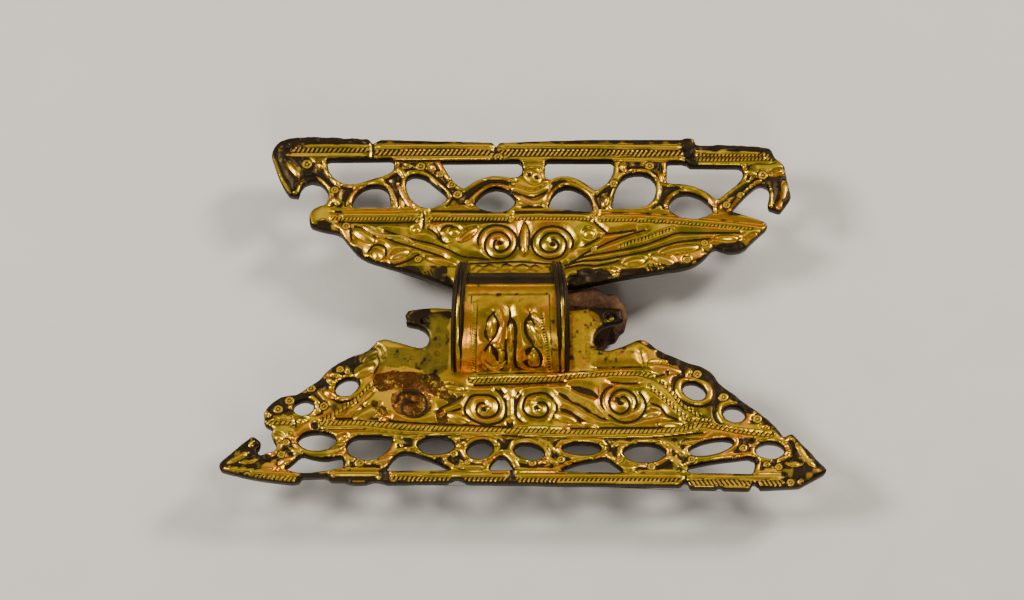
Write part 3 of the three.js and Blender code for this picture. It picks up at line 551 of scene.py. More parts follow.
# ---- head plate: every row of points reads x, y, x, y ...
headWork = {
    "warmer": 0.02, "seenShift": 0.2,
    "scribed": [
        (0.16, -26.5, 15.55, -20, 15.6, -14, 15.7), (0.2, -8, 4.1, -3, 4.3), (0.2, 1, 4.3, 5, 4.1),
        (0.32, -6.6, 6.2, 0, 6.5, 5.6, 6.2),
        (0.3, -6, 5.2, -5.1, 5.9, -4, 5.2, -2.9, 4.9, -1.9, 5.4, -1.2, 6, -0.3, 5.9, 0.6, 5.2, 1.6, 4.9,
         2.6, 5.4, 3.4, 5.9, 4.4, 5.4),
        (0.3, -5.2, 4.8, -4.2, 5.6, -3.2, 6, -2.2, 5.4, -1.2, 4.9, -0.2, 5.1, 0.8, 5.8, 1.8, 6, 2.8, 5.3,
         3.8, 4.8), (0.18, -12.5, 4.9, -11.9, 3.7), (0.18, -12.1, 5.1, -11.5, 3.9),
        (0.18, -12.9, 4.7, -12.3, 3.5), (0.2, 20.2, 6, 20.9, 4.2), (0.2, 20.9, 6.2, 21.6, 4.4),
        (0.2, 21.6, 6.3, 22.3, 4.7),
    ],
    "rims": [(-33, -0.5, 16.2, 24.2, 0.62), (5.8, 37.6, 15.8, 23.9, 0.6)],
    "worn": [
        (1.7, -36.6, 26.6, -36.2, 23.6, -34.4, 19.4, -33.2, 17), (1.2, -36, 28.4, -30, 28.5, -21.8, 28.4),
        (1.9, -28.3, 13, -26.4, 11.4, -24.6, 9, -21.8, 6.4, -18.4, 4.6, -13.8, 3.3, -9.6, 2.8),
        (2.4, 9.6, 3, 14.2, 3.3, 19, 3.8, 24, 4.6, 28.6, 5.8, 32, 7.6), (1.6, 32, 7.8, 35, 9.2, 37.6, 11),
        (1.3, 42.2, 20, 41.9, 18.2, 40.7, 15), (1, 28, 27.2, 33, 27, 40, 26.6),
    ],
    "cuts": [
        (0.4, -24.2, 13, -24.1, 11.5, -23.8, 10), (0.35, -24, 13, -22, 12.3, -20, 10.7),
        (0.35, -20, 11.5, -17.5, 10.2, -14.9, 9.3, -11.4, 8, -9.7, 7.3),
        (0.35, -19.5, 12.3, -14.4, 10.5, -12, 9.9, -9.7, 8.9, -7.4, 7.65, -4.8, 7.3, -3, 7.1),
        (0.4, -21.7, 8, -20.5, 9.6, -18.9, 9.2, -18.8, 7.3),
        (0.4, -18.3, 6.8, -17.5, 6.2, -15.5, 6.9, -13.5, 8.3), (0.45, -10.8, 12, -10.5, 10.3, -9.5, 9.9),
        (0.4, -11, 11.9, -9.5, 13, -7.6, 12.2), (0.35, -13, 12.8, -11.4, 11.6, -10.8, 10.2),
        (0.5, -13.3, 15.5, -13.2, 13.5, -13.4, 12), (0.45, 11.5, 14.6, 13, 12.9, 14.5, 11.4),
        (0.4, 13.5, 11.5, 16.2, 11.8, 19, 12.3), (0.35, 10.4, 9.3, 12, 10.2, 13.5, 11.2),
        (0.35, 9.4, 6.9, 10.5, 7.9, 13, 9.3, 15.5, 10.6, 18, 11.6, 20.3, 12.3),
        (0.35, 8.2, 6.3, 10.5, 7.5, 14, 8.3, 17, 8.9, 20, 9.7, 23, 11, 25, 11.7, 30, 11.7, 34.5, 11.8),
        (0.35, 7.2, 5.8, 10.3, 6.8, 13, 7, 16, 7.6, 20, 8.5, 24, 9.9, 26, 10.3, 30, 10.8),
        (0.4, 6.6, 5.2, 10, 6.1, 12.5, 6, 15, 6.6, 16.3, 7.2), (0.35, -27, 15.4, -20, 15.5, -14, 15.6),
        (0.3, -12.6, 15.6, -6, 15.5, -0.4, 15.5), (0.3, -12.6, 13.7, -6, 13.7, 0, 13.6),
        (0.35, -26.5, 13.6, -20, 13.5, -14, 13.6), (0.3, 0, 15.4, 6, 15.4, 12, 15.3),
        (0.3, 13, 15.3, 20, 15.1, 30, 14.1, 38, 13.1), (0.4, 10.8, 4.6, 13, 4.4), (0.4, 28.3, 9, 30, 7.6),
        (0.35, 29.5, 9.6, 31.5, 9.2, 33, 9.8),
        # left spiral and right spiral
        (0.45, -4.9, 9.2, -5.1, 10.6, -4.4, 12.2, -2.8, 13.1, -0.9, 12.8, 0.4, 11.6, 0.7, 9.9, 0.1, 8.3,
         -1.3, 7.3, -2.9, 7.4, -3.9, 8.6, -4, 10.2, -3.2, 11.5, -1.9, 11.9, -0.7, 11.2, -0.3, 10, -0.8,
         8.9, -1.9, 8.5, -2.7, 9.2, -2.6, 10.3, -1.8, 10.6),
        (0.45, 8.7, 8.6, 9.1, 10.2, 8.4, 11.8, 6.9, 12.8, 4.9, 12.7, 3.4, 11.5, 2.9, 9.8, 3.6, 8.1, 5.3,
         7.2, 7.1, 7.6, 8, 9, 7.9, 10.6, 6.8, 11.7, 5.3, 11.6, 4.3, 10.5, 4.3, 9.2, 5.3, 8.4, 6.5, 8.7,
         6.9, 9.8, 6.2, 10.6, 5.5, 10.3), (0.35, 1.2, 8.3, 1.1, 11, 1.9, 13.9),
        (0.35, 1.9, 13.9, 2.6, 11.5, 2.3, 8.3),
        # arches of the openwork, from left to right
        (0.8, -25.5, 17, -24.8, 18.8, -23, 20, -20, 20.7, -18.7, 20.3, -18, 19),
        (0.7, -7.2, 17, -6, 19.3, -4.5, 20.6, -2.8, 21, -1, 20.4),
        (0.5, 5.6, 18.8, 6.8, 20.2, 8.5, 20.6, 10, 19.8, 11.5, 18.3, 12.9, 16.8),
        (0.6, 22.7, 17.5, 23.5, 18.8, 25, 19.6, 27, 19.6, 28.8, 18.8, 30, 17.5),
        (0.5, 31.3, 15.8, 33.2, 17.4, 35.2, 18.9, 36.9, 20.2), (0.4, 1, 16.2, 3, 16.3, 5, 16.2),
        (0.4, -0.2, 19.1, 1.5, 18.3, 3, 18, 4.6, 18.6, 5.7, 19.6),
        (0.4, -15.7, 20.3, -15.5, 18, -16.2, 16), (0.45, 40.2, 20, 39.9, 18.4, 39.3, 16.5),
        (0.4, -35.9, 25.6, -34.5, 22, -32.7, 18.3), (0.4, -29.6, 23, -28.6, 21.5, -28, 20),
        (0.35, -12.6, 22.3, -10.3, 20.5, -8.8, 18.2), (0.35, 22.6, 22.6, 22.3, 20, 22.2, 17.5),
        (0.35, 14.6, 20.6, 15.1, 18.4, 15.3, 16.2), (0.35, 16, 20.8, 17.3, 21.2),
        # bars
        (0.35, -20.6, 24.45, -12, 24.45, -2.8, 24.45), (0.5, -2.4, 28.6, -2.5, 26.5, -2.3, 24.2),
        (0.4, -21.3, 28.4, -21, 26, -21.2, 24.2), (0.3, -31.5, 27.55, -22, 27.5),
    ],
    # strips in the two palest tints carry painted highlights
    "stripes": [
        (0.7, "gold", -31.5, 27.1, -27, 27.1, -22, 27.05), (0.5, "gold", -34, 25.4, -28, 25.4, -22, 25.4),
        (0.9, "gold", -20.6, 27, -12, 27.05, -2.8, 27), (0.7, "gold", -20.5, 25, -12, 25, -3.2, 25),
        (0.9, "gold", -1.9, 27.1, 12, 27.05, 25.7, 26.8), (0.8, "gold", -1.2, 24.8, 12, 24.75, 26, 24.55),
        (0.6, "gold", 28, 26.1, 33, 26, 37.5, 25.8), (0.6, "olive", 27.6, 24, 33, 24, 39.6, 24.1),
        (0.8, "gold", -36.3, 25, -35, 21.5, -33.4, 18.2),
        (0.8, "gold", -27.3, 21.5, -26.5, 20.6, -26, 19.8),
        (0.7, "white", -22.2, 12.8, -19.8, 11.3, -16.5, 11, -14.8, 10),
        (0.5, "olive", -25.5, 20.5, -22, 21, -19.5, 21.9),
        (0.7, "orange", -24.8, 16.5, -24, 18.3, -22.5, 19.5, -20, 20),
        (0.6, "pink", -18.5, 20, -17.8, 18, -17.3, 16), (0.6, "pink", -17.2, 20.3, -16.2, 18, -15, 16),
        (0.7, "olive", -13, 21.5, -11, 19.5, -9.5, 17.8), (0.6, "gold", -4, 21.3, -1.5, 21.4, 0.5, 20.7),
        (0.8, "orange", -6.5, 17, -5, 18.7, -3, 19.8, -1.5, 19.6, 0, 18.2),
        (0.7, "gold", 1.6, 23.4, 4.6, 23.3, 4.9, 21.2),
        (0.9, "gold", -0.3, 19.8, 1.5, 19, 3, 18.6, 4.5, 19.2, 5.5, 20.2),
        (1, "pink", 0.6, 18.2, 2, 17.4, 3.5, 16.9, 4.8, 17.6, 5.9, 18.7),
        (0.5, "gold", 5.5, 20.9, 7.5, 21.5, 9, 21.2, 11, 19.8, 12.8, 18.5),
        (0.7, "orange", 5.2, 16.8, 5.9, 18.5, 7.5, 19.7, 9.5, 19.3, 11, 18, 12.1, 16, 12.5, 14.9),
        (0.6, "olive", 21.9, 21.5, 21.9, 19.5, 21.7, 17),
        (0.4, "gold", 24, 20.3, 27, 20.3, 29, 19.2, 30.5, 17.6),
        (0.8, "orange", 23.1, 16, 23.8, 17.6, 25.5, 18.5, 28, 17.9, 30, 16.3, 30.6, 15.2),
        (0.5, "olive", 31, 17, 33, 19, 35, 20.5, 36, 21),
        (0.8, "orange", 32.3, 15.5, 34, 17.1, 36, 18.8, 37.3, 19.6),
        (0.9, "orange", 41, 20.7, 40.9, 18.3, 39.8, 15.5),
        (0.6, "olive", 38.9, 19.3, 38.9, 17.5, 38.7, 15.5),
        (0.8, "gold", -26, 14.8, -20, 14.8, -14, 14.9), (0.8, "gold", -12.6, 14.9, -6, 14.8, -0.4, 14.8),
        (0.7, "gold", 0.3, 14.75, 6, 14.75, 11.6, 14.6),
        (0.7, "gold", 13.2, 14.65, 20, 14.5, 30, 13.5, 38, 12.4),
    ],
    # the bar's billets in the palest tint carry painted highlights
    "billets": [
        (0.85, 0.68, 0.6, 0.42, "gold", -33, 26.2, -28, 26.25, -22, 26.2),
        (0.9, 0.7, 0.7, 0.45, "white", -20.5, 25.85, -12, 25.85, -3.2, 25.8),
        (0.9, 0.7, 0.7, 0.45, "gold", -1.6, 25.8, 12, 25.75, 25.8, 25.6),
        (0.5, 0.56, 0.5, 0.5, "gold", 28, 25.35, 34, 25.3, 39, 25.2),
        (0.5, 0.56, 0.5, 0.5, "gold", 28, 24.65, 34, 24.6, 39, 24.6),
        (0.55, 0.56, 0.5, 0.6, "gold", -27, 14.1, -20, 14.1, -13.6, 14.15),
        (0.55, 0.56, 0.5, 0.6, "gold", -12.6, 14.15, -6, 14.1, -0.2, 14.1),
        (0.55, 0.56, 0.5, 0.6, "gold", 0.2, 14.1, 6, 14.1, 12, 14),
        (0.55, 0.56, 0.5, 0.6, "gold", 13.2, 13.85, 20, 13.7, 30, 12.9, 36, 12.3),
        (0.55, 0.56, 0.5, 0.6, "gold", 16, 9.2, 18, 10.1, 20, 10.7, 22.5, 11.8, 24, 12.3),
    ],
    # leaves in the two palest tints carry painted highlights
    "leaves": [
        (-34, 24.4, -32, 21.4, 1, "gold"), (-29.5, 24.2, -28.5, 23, 0.6, "orange"),
        (-32, 20.5, -30, 20.3, 0.9, "brown"), (-27, 18.1, -26, 16.5, 0.8, "gold"),
        (-17.4, 23.5, -15.9, 21.2, 1, "gold"), (-16.5, 24, -15, 23.3, 0.7, "grey"),
        (-12.4, 23.8, -11.6, 22.8, 0.8, "white"), (-7, 17.6, -6, 16.3, 0.9, "pink"),
        (1.9, 22.9, 4.2, 20.4, 2.4, "gold"), (14.3, 18.2, 13.7, 16.2, 0.9, "pink"),
        (16.4, 24.1, 17.1, 22.5, 0.9, "gold"), (18.2, 22.6, 18.8, 21.4, 0.7, "orange"),
        (22.3, 22.5, 23, 20.5, 0.9, "orange"), (35, 22.7, 37, 21.9, 0.8, "gold"),
        (39, 21.8, 41.2, 22.7, 0.9, "orange"), (37.7, 20.5, 38.4, 19.9, 0.6, "white"),
        (-23.7, 12.4, -20.6, 10.1, 1.7, "gold"), (-20.5, 9, -19.7, 6.9, 1.5, "gold"),
        (-18.2, 7.3, -15.3, 8.6, 1.4, "white"), (-12.8, 7.5, -8.2, 6.1, 1.2, "gold"),
        (-7.8, 10.3, -5.3, 12.6, 1.3, "orange"), (-17.9, 5.3, -15.4, 4.9, 0.7, "brown"),
        (1.9, 13.4, 1.8, 8.2, 1.1, "gold"), (16.6, 6.3, 19.8, 7, 1.5, "gold"),
        (20.7, 7.7, 24.1, 6.5, 1.5, "white"), (22.2, 8.3, 27.8, 9.3, 1.5, "gold"),
        (14.6, 5.4, 15.9, 4.1, 1, "gold"), (34.2, 9.5, 36.9, 11.4, 1.2, "pink"),
        (12.2, 5, 15.4, 5.1, 1, "orange"), (20.3, 5.7, 20.6, 4.6, 0.8, "orange"),
        (21.9, 5.9, 22.3, 5, 0.8, "pink"), (30.3, 10.9, 33.8, 10.8, 0.9, "gold"),
        (30, 8.8, 28.6, 6.7, 0.9, "gold"), (-9.5, 11.8, -7.8, 11.8, 1.6, "gold"),
        (10.6, 11.6, 12.4, 11.6, 1.7, "gold"), (-14.9, 12.2, -13.7, 12.2, 1.1, "gold"),
        (-32.3, 28.3, -31.5, 28.3, 0.7, "orange"), (-35.3, 27.2, -33.7, 26.8, 1.2, "dark"),
    ],
    "rings": [
        (-31, 23.8, 0.7), (-26.7, 19.2, 0.55), (-13.8, 23.4, 0.65), (-10.9, 22, 0.5), (-9.1, 20.2, 0.6),
        (-8.2, 18.4, 0.6), (15.3, 20.3, 0.55), (20.8, 23.5, 0.6), (36.2, 19.8, 0.5), (34.4, 18.3, 0.5),
        (32.2, 16.6, 0.55), (37.8, 21.8, 0.65), (-24.8, 12.9, 0.55), (-14, 7.1, 0.5), (26, 7, 0.5),
        (27.3, 6.3, 0.5), (28.7, 9.9, 0.5), (33.7, 9.3, 0.5), (-2.1, 25.1, 0.6), (12.2, 8.8, 0.4),
    ],
    "ground": [
        (-38, -31.6, 16, 26, 0.98), (-31.6, -21.5, 15.9, 24.1, 0.82), (-21.5, 0, 16.3, 24.1, 0.8),
        (0, 6, 15.8, 17.4, 0.4), (6, 31, 16.2, 24.1, 0.8), (31, 37, 14.5, 23.6, 0.8),
        (37.4, 43, 13.8, 21.6, 0.95), (-38, -21.5, 24.1, 29, 0.75), (-21, 26, 25.2, 26.5, 0.9),
        (26, 41, 24.2, 27.6, 0.75), (-23, -9.5, 2, 5.9, 0.8), (9.5, 22, 2, 5.2, 0.85),
        (22, 33.5, 4, 6.6, 0.85), (30, 36.5, 7, 9.9, 0.75),
    ],
    "pits": [
        (-16.7, 5.4, 0.5), (-1.8, 10, 0.5), (6, 9.8, 0.5), (2.6, 21.9, 0.35), (3.7, 21.4, 0.35),
        (26.6, 25.6, 0.8),
    ],
    "stains": {
        "dark": [
            (0.9, -36, 28, -30, 28, -21.8, 28), (0.6, -20.6, 28, -12, 28, -3, 28),
            (0.6, -1.8, 28, 12, 28, 25.8, 27.9), (1, 27.9, 27.1, 33, 26.8, 39.5, 26.5),
            (1.4, 26.4, 27.6, 27, 26, 27.2, 24.6), (1.3, -31.2, 21.9, -30, 20.9),
            (1.6, -16.5, 5, -14.8, 4.7), (1.2, 10.8, 4.8, 14, 4.2), (1.3, 16.6, 4.4, 19.4, 4.5),
            (1, 23.6, 5.4, 26, 5.4), (1.4, 31, 8.8, 34, 9), (0.3, -37.4, 26, -36.3, 21, -34.4, 17.4),
            (0.7, 41.9, 18.8, 40.7, 15.2),
        ],
        "grey": [
            (0.5, -21.8, 6.3, -19, 5.2), (0.5, 14.5, 3.6, 19, 4), (0.4, 28.5, 5.9, 31.5, 7.4),
        ],
        "orange": [(0.5, -25, 15.5, -14.5, 15.6), (0.4, 14, 15.1, 30, 13.9, 38, 12.8)],
        "ochre": [(1.8, -8, 4.6, 7, 4.7)],
    },
}
headRelief = Relief(-43.2, 46.2, 0.6, 29.6, plateShape["step"], 11)
headInside = insideDistance(headRelief, outline[outline[:, :, 1].mean(1) > plateShape["split"]])


def carve(relief, edge, work, seed):
    # cuts first, then what stands on them, then what is punched and stained
    relief.shift(work["seenShift"])
    relief.warmth += work["warmer"]
    relief.cutLines(work["cuts"])
    relief.settle(edge)
    relief.ground(work["ground"])
    relief.rims(edge, work["rims"])
    relief.worn(work["worn"])
    relief.leaves(work["leaves"])
    relief.strips(work["stripes"])
    relief.billets(work["billets"])
    relief.scribe(work["scribed"])
    relief.punches([row for row in work["rings"] if row[2] > punch["faint"]])
    relief.dimples([row for row in work["rings"] if row[2] <= punch["faint"]])
    relief.spots(work["pits"])
    for name, rows in work["stains"].items():
        relief.shade(rows, name)
    relief.roughen(seed)
    relief.shift(-work["seenShift"])


carve(headRelief, np.maximum(headInside, 0), headWork, 21)
headPlate = platePiece("head_plate_carving", headRelief, headInside)

# ---- foot plate
footWork = {
    "warmer": 0.05, "seenShift": 0.2,
    "scribed": [
        (0.16, -5, -12.6, 0, -12.4, 8, -12.2, 12, -12), (0.16, -25, -19.9, -15, -20.4, -6, -20.9),
    ],
    "rims": [
        (-35, 41, -28.1, -23, 0.72), (21.8, 35.4, -20.6, -12.4, 0.85), (-31.5, -22.8, -19.3, -12.4, 0.75),
    ],
    "worn": [
        (1.2, 12.6, -7.4, 15.5, -6.8, 18.5, -6.6, 21, -8),
        (2.4, 22.5, -8.6, 25.4, -10.3, 28, -11.8, 31, -14, 33.4, -16.4),
        (1.6, 33.4, -16.6, 36, -19, 38.9, -21.8), (1.2, 40.6, -22.2, 43, -25.2, 45.2, -28.1),
        (2.6, -22.6, -9.4, -25, -11, -28, -13.4, -31, -15.6, -34, -17.6, -36.4, -19),
        (1.3, -42.4, -27, -40, -24.4, -38, -22.4), (0.8, -17.3, -30.8, -9, -30.85, -0.6, -30.85),
        (0.8, 0.6, -30.85, 12, -30.9, 24, -30.95), (0.6, -38, -30.2, -34, -30.6, -30.4, -30.9),
    ],
    "cuts": [
        (0.35, 12, -11.3, 16, -11.2, 19.3, -11.1), (0.35, 18.8, -8.7, 19.3, -11),
        (0.3, 14, -13.6, 16.5, -13.9, 18.8, -13.9),
        (0.45, -2.8, -14.6, -1.7, -15.5, -1, -17, -0.9, -18.5, -1.4, -19.9, -2.5, -20.5, -4, -20.6, -5.5,
         -20, -6.6, -19, -6.9, -18, -6.5, -16.9, -5.9, -16, -4.5, -15.8, -3.2, -15.9, -2.3, -16.5, -1.9,
         -17.5, -2.1, -18.6, -2.8, -19.3, -4, -19.5, -4.9, -19, -5.2, -18.2, -4.9, -17.3, -4.2, -17.1,
         -3.6, -17.6), (0.3, -0.9, -16, -0.8, -19.8), (0.3, 0.4, -16, 0.4, -19.5),
        (0.35, -2, -14.5, -0.9, -16), (0.35, 0.4, -16, 1.3, -15), (0.6, -0.9, -20, -0.3, -21, 0.2, -20),
        (0.45, 1.6, -15.4, 0.9, -16.5, 0.5, -18, 0.7, -19.5, 1.8, -20.4),
        (0.45, 5.6, -20, 6.2, -19, 6.5, -18, 6.2, -16.8, 5, -15.6, 3.5, -15.5, 2.2, -16, 1.7, -17, 1.6,
         -18, 2.2, -19, 3.5, -19.5, 4.6, -19.3, 5.2, -18.3, 5, -17.3, 4.2, -17, 3.3, -17.2),
        (0.45, 15, -14.1, 13.5, -15, 12.9, -16.5, 13.2, -18, 14.3, -19.3, 16, -20.3, 18, -19.9, 19.3,
         -18.2, 19.2, -16.5, 18.2, -15),
        (0.45, 17.6, -18.4, 18.1, -17, 17.6, -15.6, 16.2, -14.9, 14.8, -15.4, 14.1, -16.8, 14.5, -18.2,
         15.7, -18.9, 16.8, -18.2, 17, -17, 16.3, -16.1, 15.4, -16.4),
        (0.4, -16.9, -17, -16.3, -15.6, -14.9, -15, -13.2, -15.5, -12.4, -17, -12.7, -18.5, -14, -19.4,
         -15.5, -18.9, -16, -17.6, -15.2, -16.6, -14.2, -16.9),
        (0.6, 6.5, -15.3, 8, -16.3, 10, -17.6, 12, -18.9, 14, -20),
        (0.85, 8.3, -14.4, 9.5, -14.8, 11.6, -15.5, 12.7, -16.4),
        (0.6, 6.7, -18, 8.5, -18.8, 10, -20, 12, -21.2), (0.4, -6.8, -15.7, -9, -17.2, -11, -18.3),
        (0.4, -7, -17.9, -9.2, -18.7, -10, -19.5), (0.45, 19.7, -17, 21.5, -17.8, 22.5, -19.2, 24.5, -20),
        (0.35, -23.6, -11, -23.2, -12, -23, -13), (0.35, -20.6, -7.6, -19.4, -10.2, -20.3, -12.6),
        (0.35, -28.4, -21.4, -20, -21.4, -10, -22, 0, -22.5, 10, -22.8, 20, -22.7, 28, -22),
        (0.3, -26, -19.7, -20, -19.7, -15, -20.3, -8, -20.7, 0, -21.1),
        (0.3, 8, -21.3, 13.5, -21.2, 20, -21.2, 24, -21), (0.3, -6, -14.2, 0, -14, 8, -13.6),
        (0.4, -31.3, -19.5, -31.3, -21.5), (0.35, -24.6, -14.2, -22.8, -16.6, -20.6, -18.6),
        (0.35, -29.6, -16, -30.3, -17.7, -30.2, -19.2), (0.35, 20.4, -12.9, 22.6, -12.3),
        (0.35, 25.1, -11.4, 24.7, -13.2, 23.9, -14.4), (0.4, 29.3, -16.6, 30.6, -18.1, 31.2, -20),
        # openwork
        (0.7, -32, -23.9, -30.5, -24.8, -28.5, -25.3, -26.5, -25.3, -25, -24.6, -22.8, -22.9),
        (0.6, -21.5, -26.3, -19, -26.2, -17.5, -25.5, -16.2, -24.8),
        (0.6, -14.8, -23.8, -13, -25, -11.5, -25.7, -10, -25.9, -9, -25.3, -7.5, -24.5),
        (0.5, -5, -26.6, -3, -25.9, -1.8, -24.6, -0.5, -24), (0.6, -0.2, -24, 0.5, -25.5, 1.8, -27.3),
        (0.7, 6.2, -24.5, 7.5, -26, 9.5, -26.3, 12, -25.8, 14.3, -24.2),
        (0.7, 14.8, -24.5, 15.5, -26, 17.5, -27.1, 19.5, -27.4, 22, -27),
        (0.8, 25, -25.6, 27, -26.5, 29.5, -26.2, 31.5, -25.4, 33.5, -24.6),
        (0.4, -42, -27, -39.8, -24.9, -37.5, -22.8), (0.5, -38.3, -26.1, -37, -25.7),
        (0.4, 5.4, -23.4, 6.2, -24.9, 7, -26.6), (0.4, 34.4, -25, 36.2, -25.4, 38.4, -25.3),
        (0.5, 0, -28, 0, -30.8), (0.4, -18.5, -28, -18.6, -30.9), (0.5, -26, -29.35, -19, -29.35),
        (0.4, 24.9, -28.6, 24.9, -31),
    ],
    # strips in the two palest tints carry painted highlights
    "stripes": [
        (0.6, "gold", -27.5, -21.2, -22, -21.1, -15, -21.9, -8, -22.1, -1, -22.2),
        (0.6, "gold", 1, -22.3, 10, -22.55, 20, -22.4, 27, -21.6),
        (0.5, "orange", -20.2, -15.3, -22, -17.2, -24, -19),
        (0.8, "gold", -40.8, -27, -39.4, -26.1, -38.1, -25.3),
        (0.7, "gold", -39, -26.9, -37.6, -26.7, -36.6, -26.4),
        (1.1, "pink", -33.5, -26.9, -32.4, -26.6, -31.3, -26),
        (0.8, "gold", -32, -24.5, -31.2, -25, -30.3, -25.5),
        (0.9, "gold", -29.6, -26.3, -28.4, -26.6, -27.2, -26.9),
        (0.9, "orange", -26, -26.1, -24.9, -25.6, -24, -24.9), (0.7, "olive", -26.4, -24.5, -24.3, -23.8),
        (0.8, "pink", -23.5, -24, -22.4, -23.3, -21.5, -22.7),
        (0.5, "gold", -24, -27.8, -21.5, -27.9, -19, -27.9),
        (0.9, "pink", -19.8, -26.9, -18.3, -26.6, -17, -26),
        (0.8, "gold", -16, -25.8, -15, -25.4, -14, -24.8),
        (0.6, "gold", -20.5, -23.2, -16.7, -23.2, -15.8, -24.3),
        (0.5, "gold", -14, -23, -12, -22.9, -9, -22.9, -8, -23.5),
        (0.9, "gold", -15, -24.8, -13, -26.1, -11.5, -27),
        (0.9, "gold", -6.8, -24.4, -5.5, -23.3, -3, -23.3, -2.3, -24),
        (0.8, "gold", -8, -27.4, -6, -27.6, -4, -27.6),
        (0.9, "orange", -4, -27, -2.5, -26.4, -1.2, -25.5),
        (0.9, "gold", -1.2, -25.3, -0.1, -26.3, 0.8, -27.3),
        (0.7, "gold", 0.2, -24.5, 0.8, -23.5, 2.5, -23.2, 4, -24.1, 4.8, -25.1, 5.5, -26.3, 6.8, -27.3),
        (0.6, "gold", 3.9, -22.9, 5.4, -24, 6.2, -25.2), (0.4, "gold", 0.5, -27.8, 3, -27.9, 6, -27.9),
        (0.8, "gold", 6.5, -24.2, 7.3, -23.5, 9.8, -23.3, 12.5, -23.3, 13.5, -23.9),
        (0.9, "orange", 6, -27.8, 8.5, -27.4, 11, -26.9, 13.3, -25.9, 14.2, -25.3),
        (0.9, "gold", 14.6, -24.2, 15.5, -23.6, 18, -24, 22, -24.2),
        (0.9, "gold", 14, -25.3, 14.5, -26.8, 16.3, -27.9, 17.8, -27.6),
        (0.5, "gold", 18, -28.2, 21, -28.3, 24, -28.3),
        (0.9, "gold", 21.6, -23.1, 23.5, -24.5, 25, -25.8),
        (0.8, "gold", 22.3, -25.5, 23.5, -26.6, 24.7, -27.8),
        (0.8, "pink", 24.7, -23.8, 26.5, -23.5, 28, -23.6),
        (1, "pink", 25, -27.8, 28, -27.5, 31, -26.9, 33, -25.9),
        (0.8, "pink", 34.3, -24, 36.3, -24, 38.2, -24.2),
        (0.8, "gold", 41, -23.8, 42.1, -26, 43.5, -27.6),
        (0.7, "gold", 38.8, -24, 39.4, -23.4, 40, -22.9),
        (0.8, "gold", 39.3, -27, 40.4, -27.2, 41.5, -27.3),
        (0.7, "gold", -41.3, -27.8, -36, -28.4, -30.4, -28.8),
        (0.6, "gold", -37.5, -29.4, -34, -29.8, -30.5, -30.2),
        (0.7, "gold", -26, -28.6, -22, -28.6, -18.9, -28.6),
        (0.7, "gold", -17.2, -28.7, -9, -28.9, -0.6, -29), (0.7, "gold", 0.6, -29, 12, -29, 24.3, -29.1),
        (0.5, "gold", -24.5, -30, -20.5, -30), (0.4, "gold", -17, -29.95, -9, -30.05, -0.6, -30.05),
        (0.4, "gold", 0.6, -30.1, 12, -30.1, 24, -30.2), (0.6, "gold", 25.3, -29.1, 32, -29.2, 39, -29.3),
        (0.5, "gold", 25.4, -30.9, 30, -30.9, 34, -30.9),
        (0.7, "white", -20, -7.5, -19.2, -8.4, -18.8, -9.5),
        (0.6, "white", -30.5, -16.9, -28.9, -17.2, -28, -18.2, -28.5, -19),
        (0.8, "gold", -34.4, -19.4, -33, -19.7, -32, -19.6),
    ],
    "billets": [
        (0.75, 0.64, 0.7, 0.66, "gold", -6, -13.5, -3, -13.4, 0, -13.3, 5, -13.2, 8, -12.9, 11, -12.7,
         15, -12.4, 18, -12.4, 20.5, -12.9),
        (0.75, 0.66, 0.7, 0.66, "gold", -27.5, -20.5, -24, -20.35, -20, -20.5, -15, -21.1, -8, -21.4, 0,
         -21.65, 5, -21.7, 10, -21.95, 13.5, -21.85, 20, -21.8, 24, -21.6, 25.5, -21.3, 27, -20.9, 29.5,
         -21.2, 34, -22.1, 37.5, -22.5),
        (0.7, 0.66, 0.7, 0.66, "gold", -35.9, -20.4, -33.5, -20.5, -31.7, -20.6),
        (0.65, 0.74, -0.6, 0.66, "gold", 21.3, -13.3, 22.5, -14.5, 23.5, -15.8, 24.7, -17.5, 27, -19.3),
        (0.65, 0.74, -0.6, 0.66, "gold", 20, -14.6, 21.5, -16, 23, -17.5, 25, -19.5, 26, -20.2),
        (0.5, 0.6, 0.5, 0.66, "gold", 25, -19.9, 28.5, -20.2),
        (0.65, 0.66, 0.7, 0.66, "gold", -20.5, -14.3, -22.3, -16.2, -24.5, -18.2, -27.5, -20),
        (0.6, 0.62, 0.6, 0.66, "gold", -38, -28.95, -34, -29.3, -30.4, -29.6),
        (0.55, 0.62, 0.6, 0.48, "gold", -17.2, -29.4, -9, -29.5, -0.6, -29.55),
        (0.55, 0.62, 0.6, 0.5, "gold", 0.6, -29.6, 12, -29.6, 24, -29.7),
        (0.9, 0.65, -0.7, 0.5, "gold", 25.2, -30.05, 32, -30.15, 38.8, -30.2),
    ],
    # leaves in the two palest tints carry painted highlights
    "leaves": [
        (6.2, -18.9, 9.2, -20.1, 1.5, "gold"), (10, -20.2, 12.5, -21.2, 0.9, "gold"),
        (-9.4, -18.8, -6.2, -20.2, 1.4, "gold"), (-23, -20, -19.2, -17.6, 1.8, "gold"),
        (-19.3, -19.8, -17.6, -19.3, 1, "orange"), (19, -19.3, 21.5, -18.6, 1.3, "white"),
        (21.1, -20.6, 24.7, -20.6, 1.1, "gold"), (19.9, -10.9, 24.6, -12, 1.6, "pink"),
        (25.9, -11.3, 25.6, -13, 0.9, "gold"), (36, -20.9, 37.2, -21.3, 0.8, "orange"),
        (-36, -18.5, -35, -19.4, 1, "gold"), (-32.5, -18, -31, -17.3, 0.8, "orange"),
        (-27.3, -14.9, -25.7, -16.3, 1.3, "orange"), (-27, -13, -25.7, -14.2, 0.9, "gold"),
        (-26.6, -12.3, -24.8, -12.8, 0.8, "gold"), (-24.2, -10.9, -23.9, -12.4, 0.7, "gold"),
        (-22.9, -12.7, -20.3, -11, 1.6, "gold"), (-21.8, -10.3, -19.7, -8.2, 1.2, "olive"),
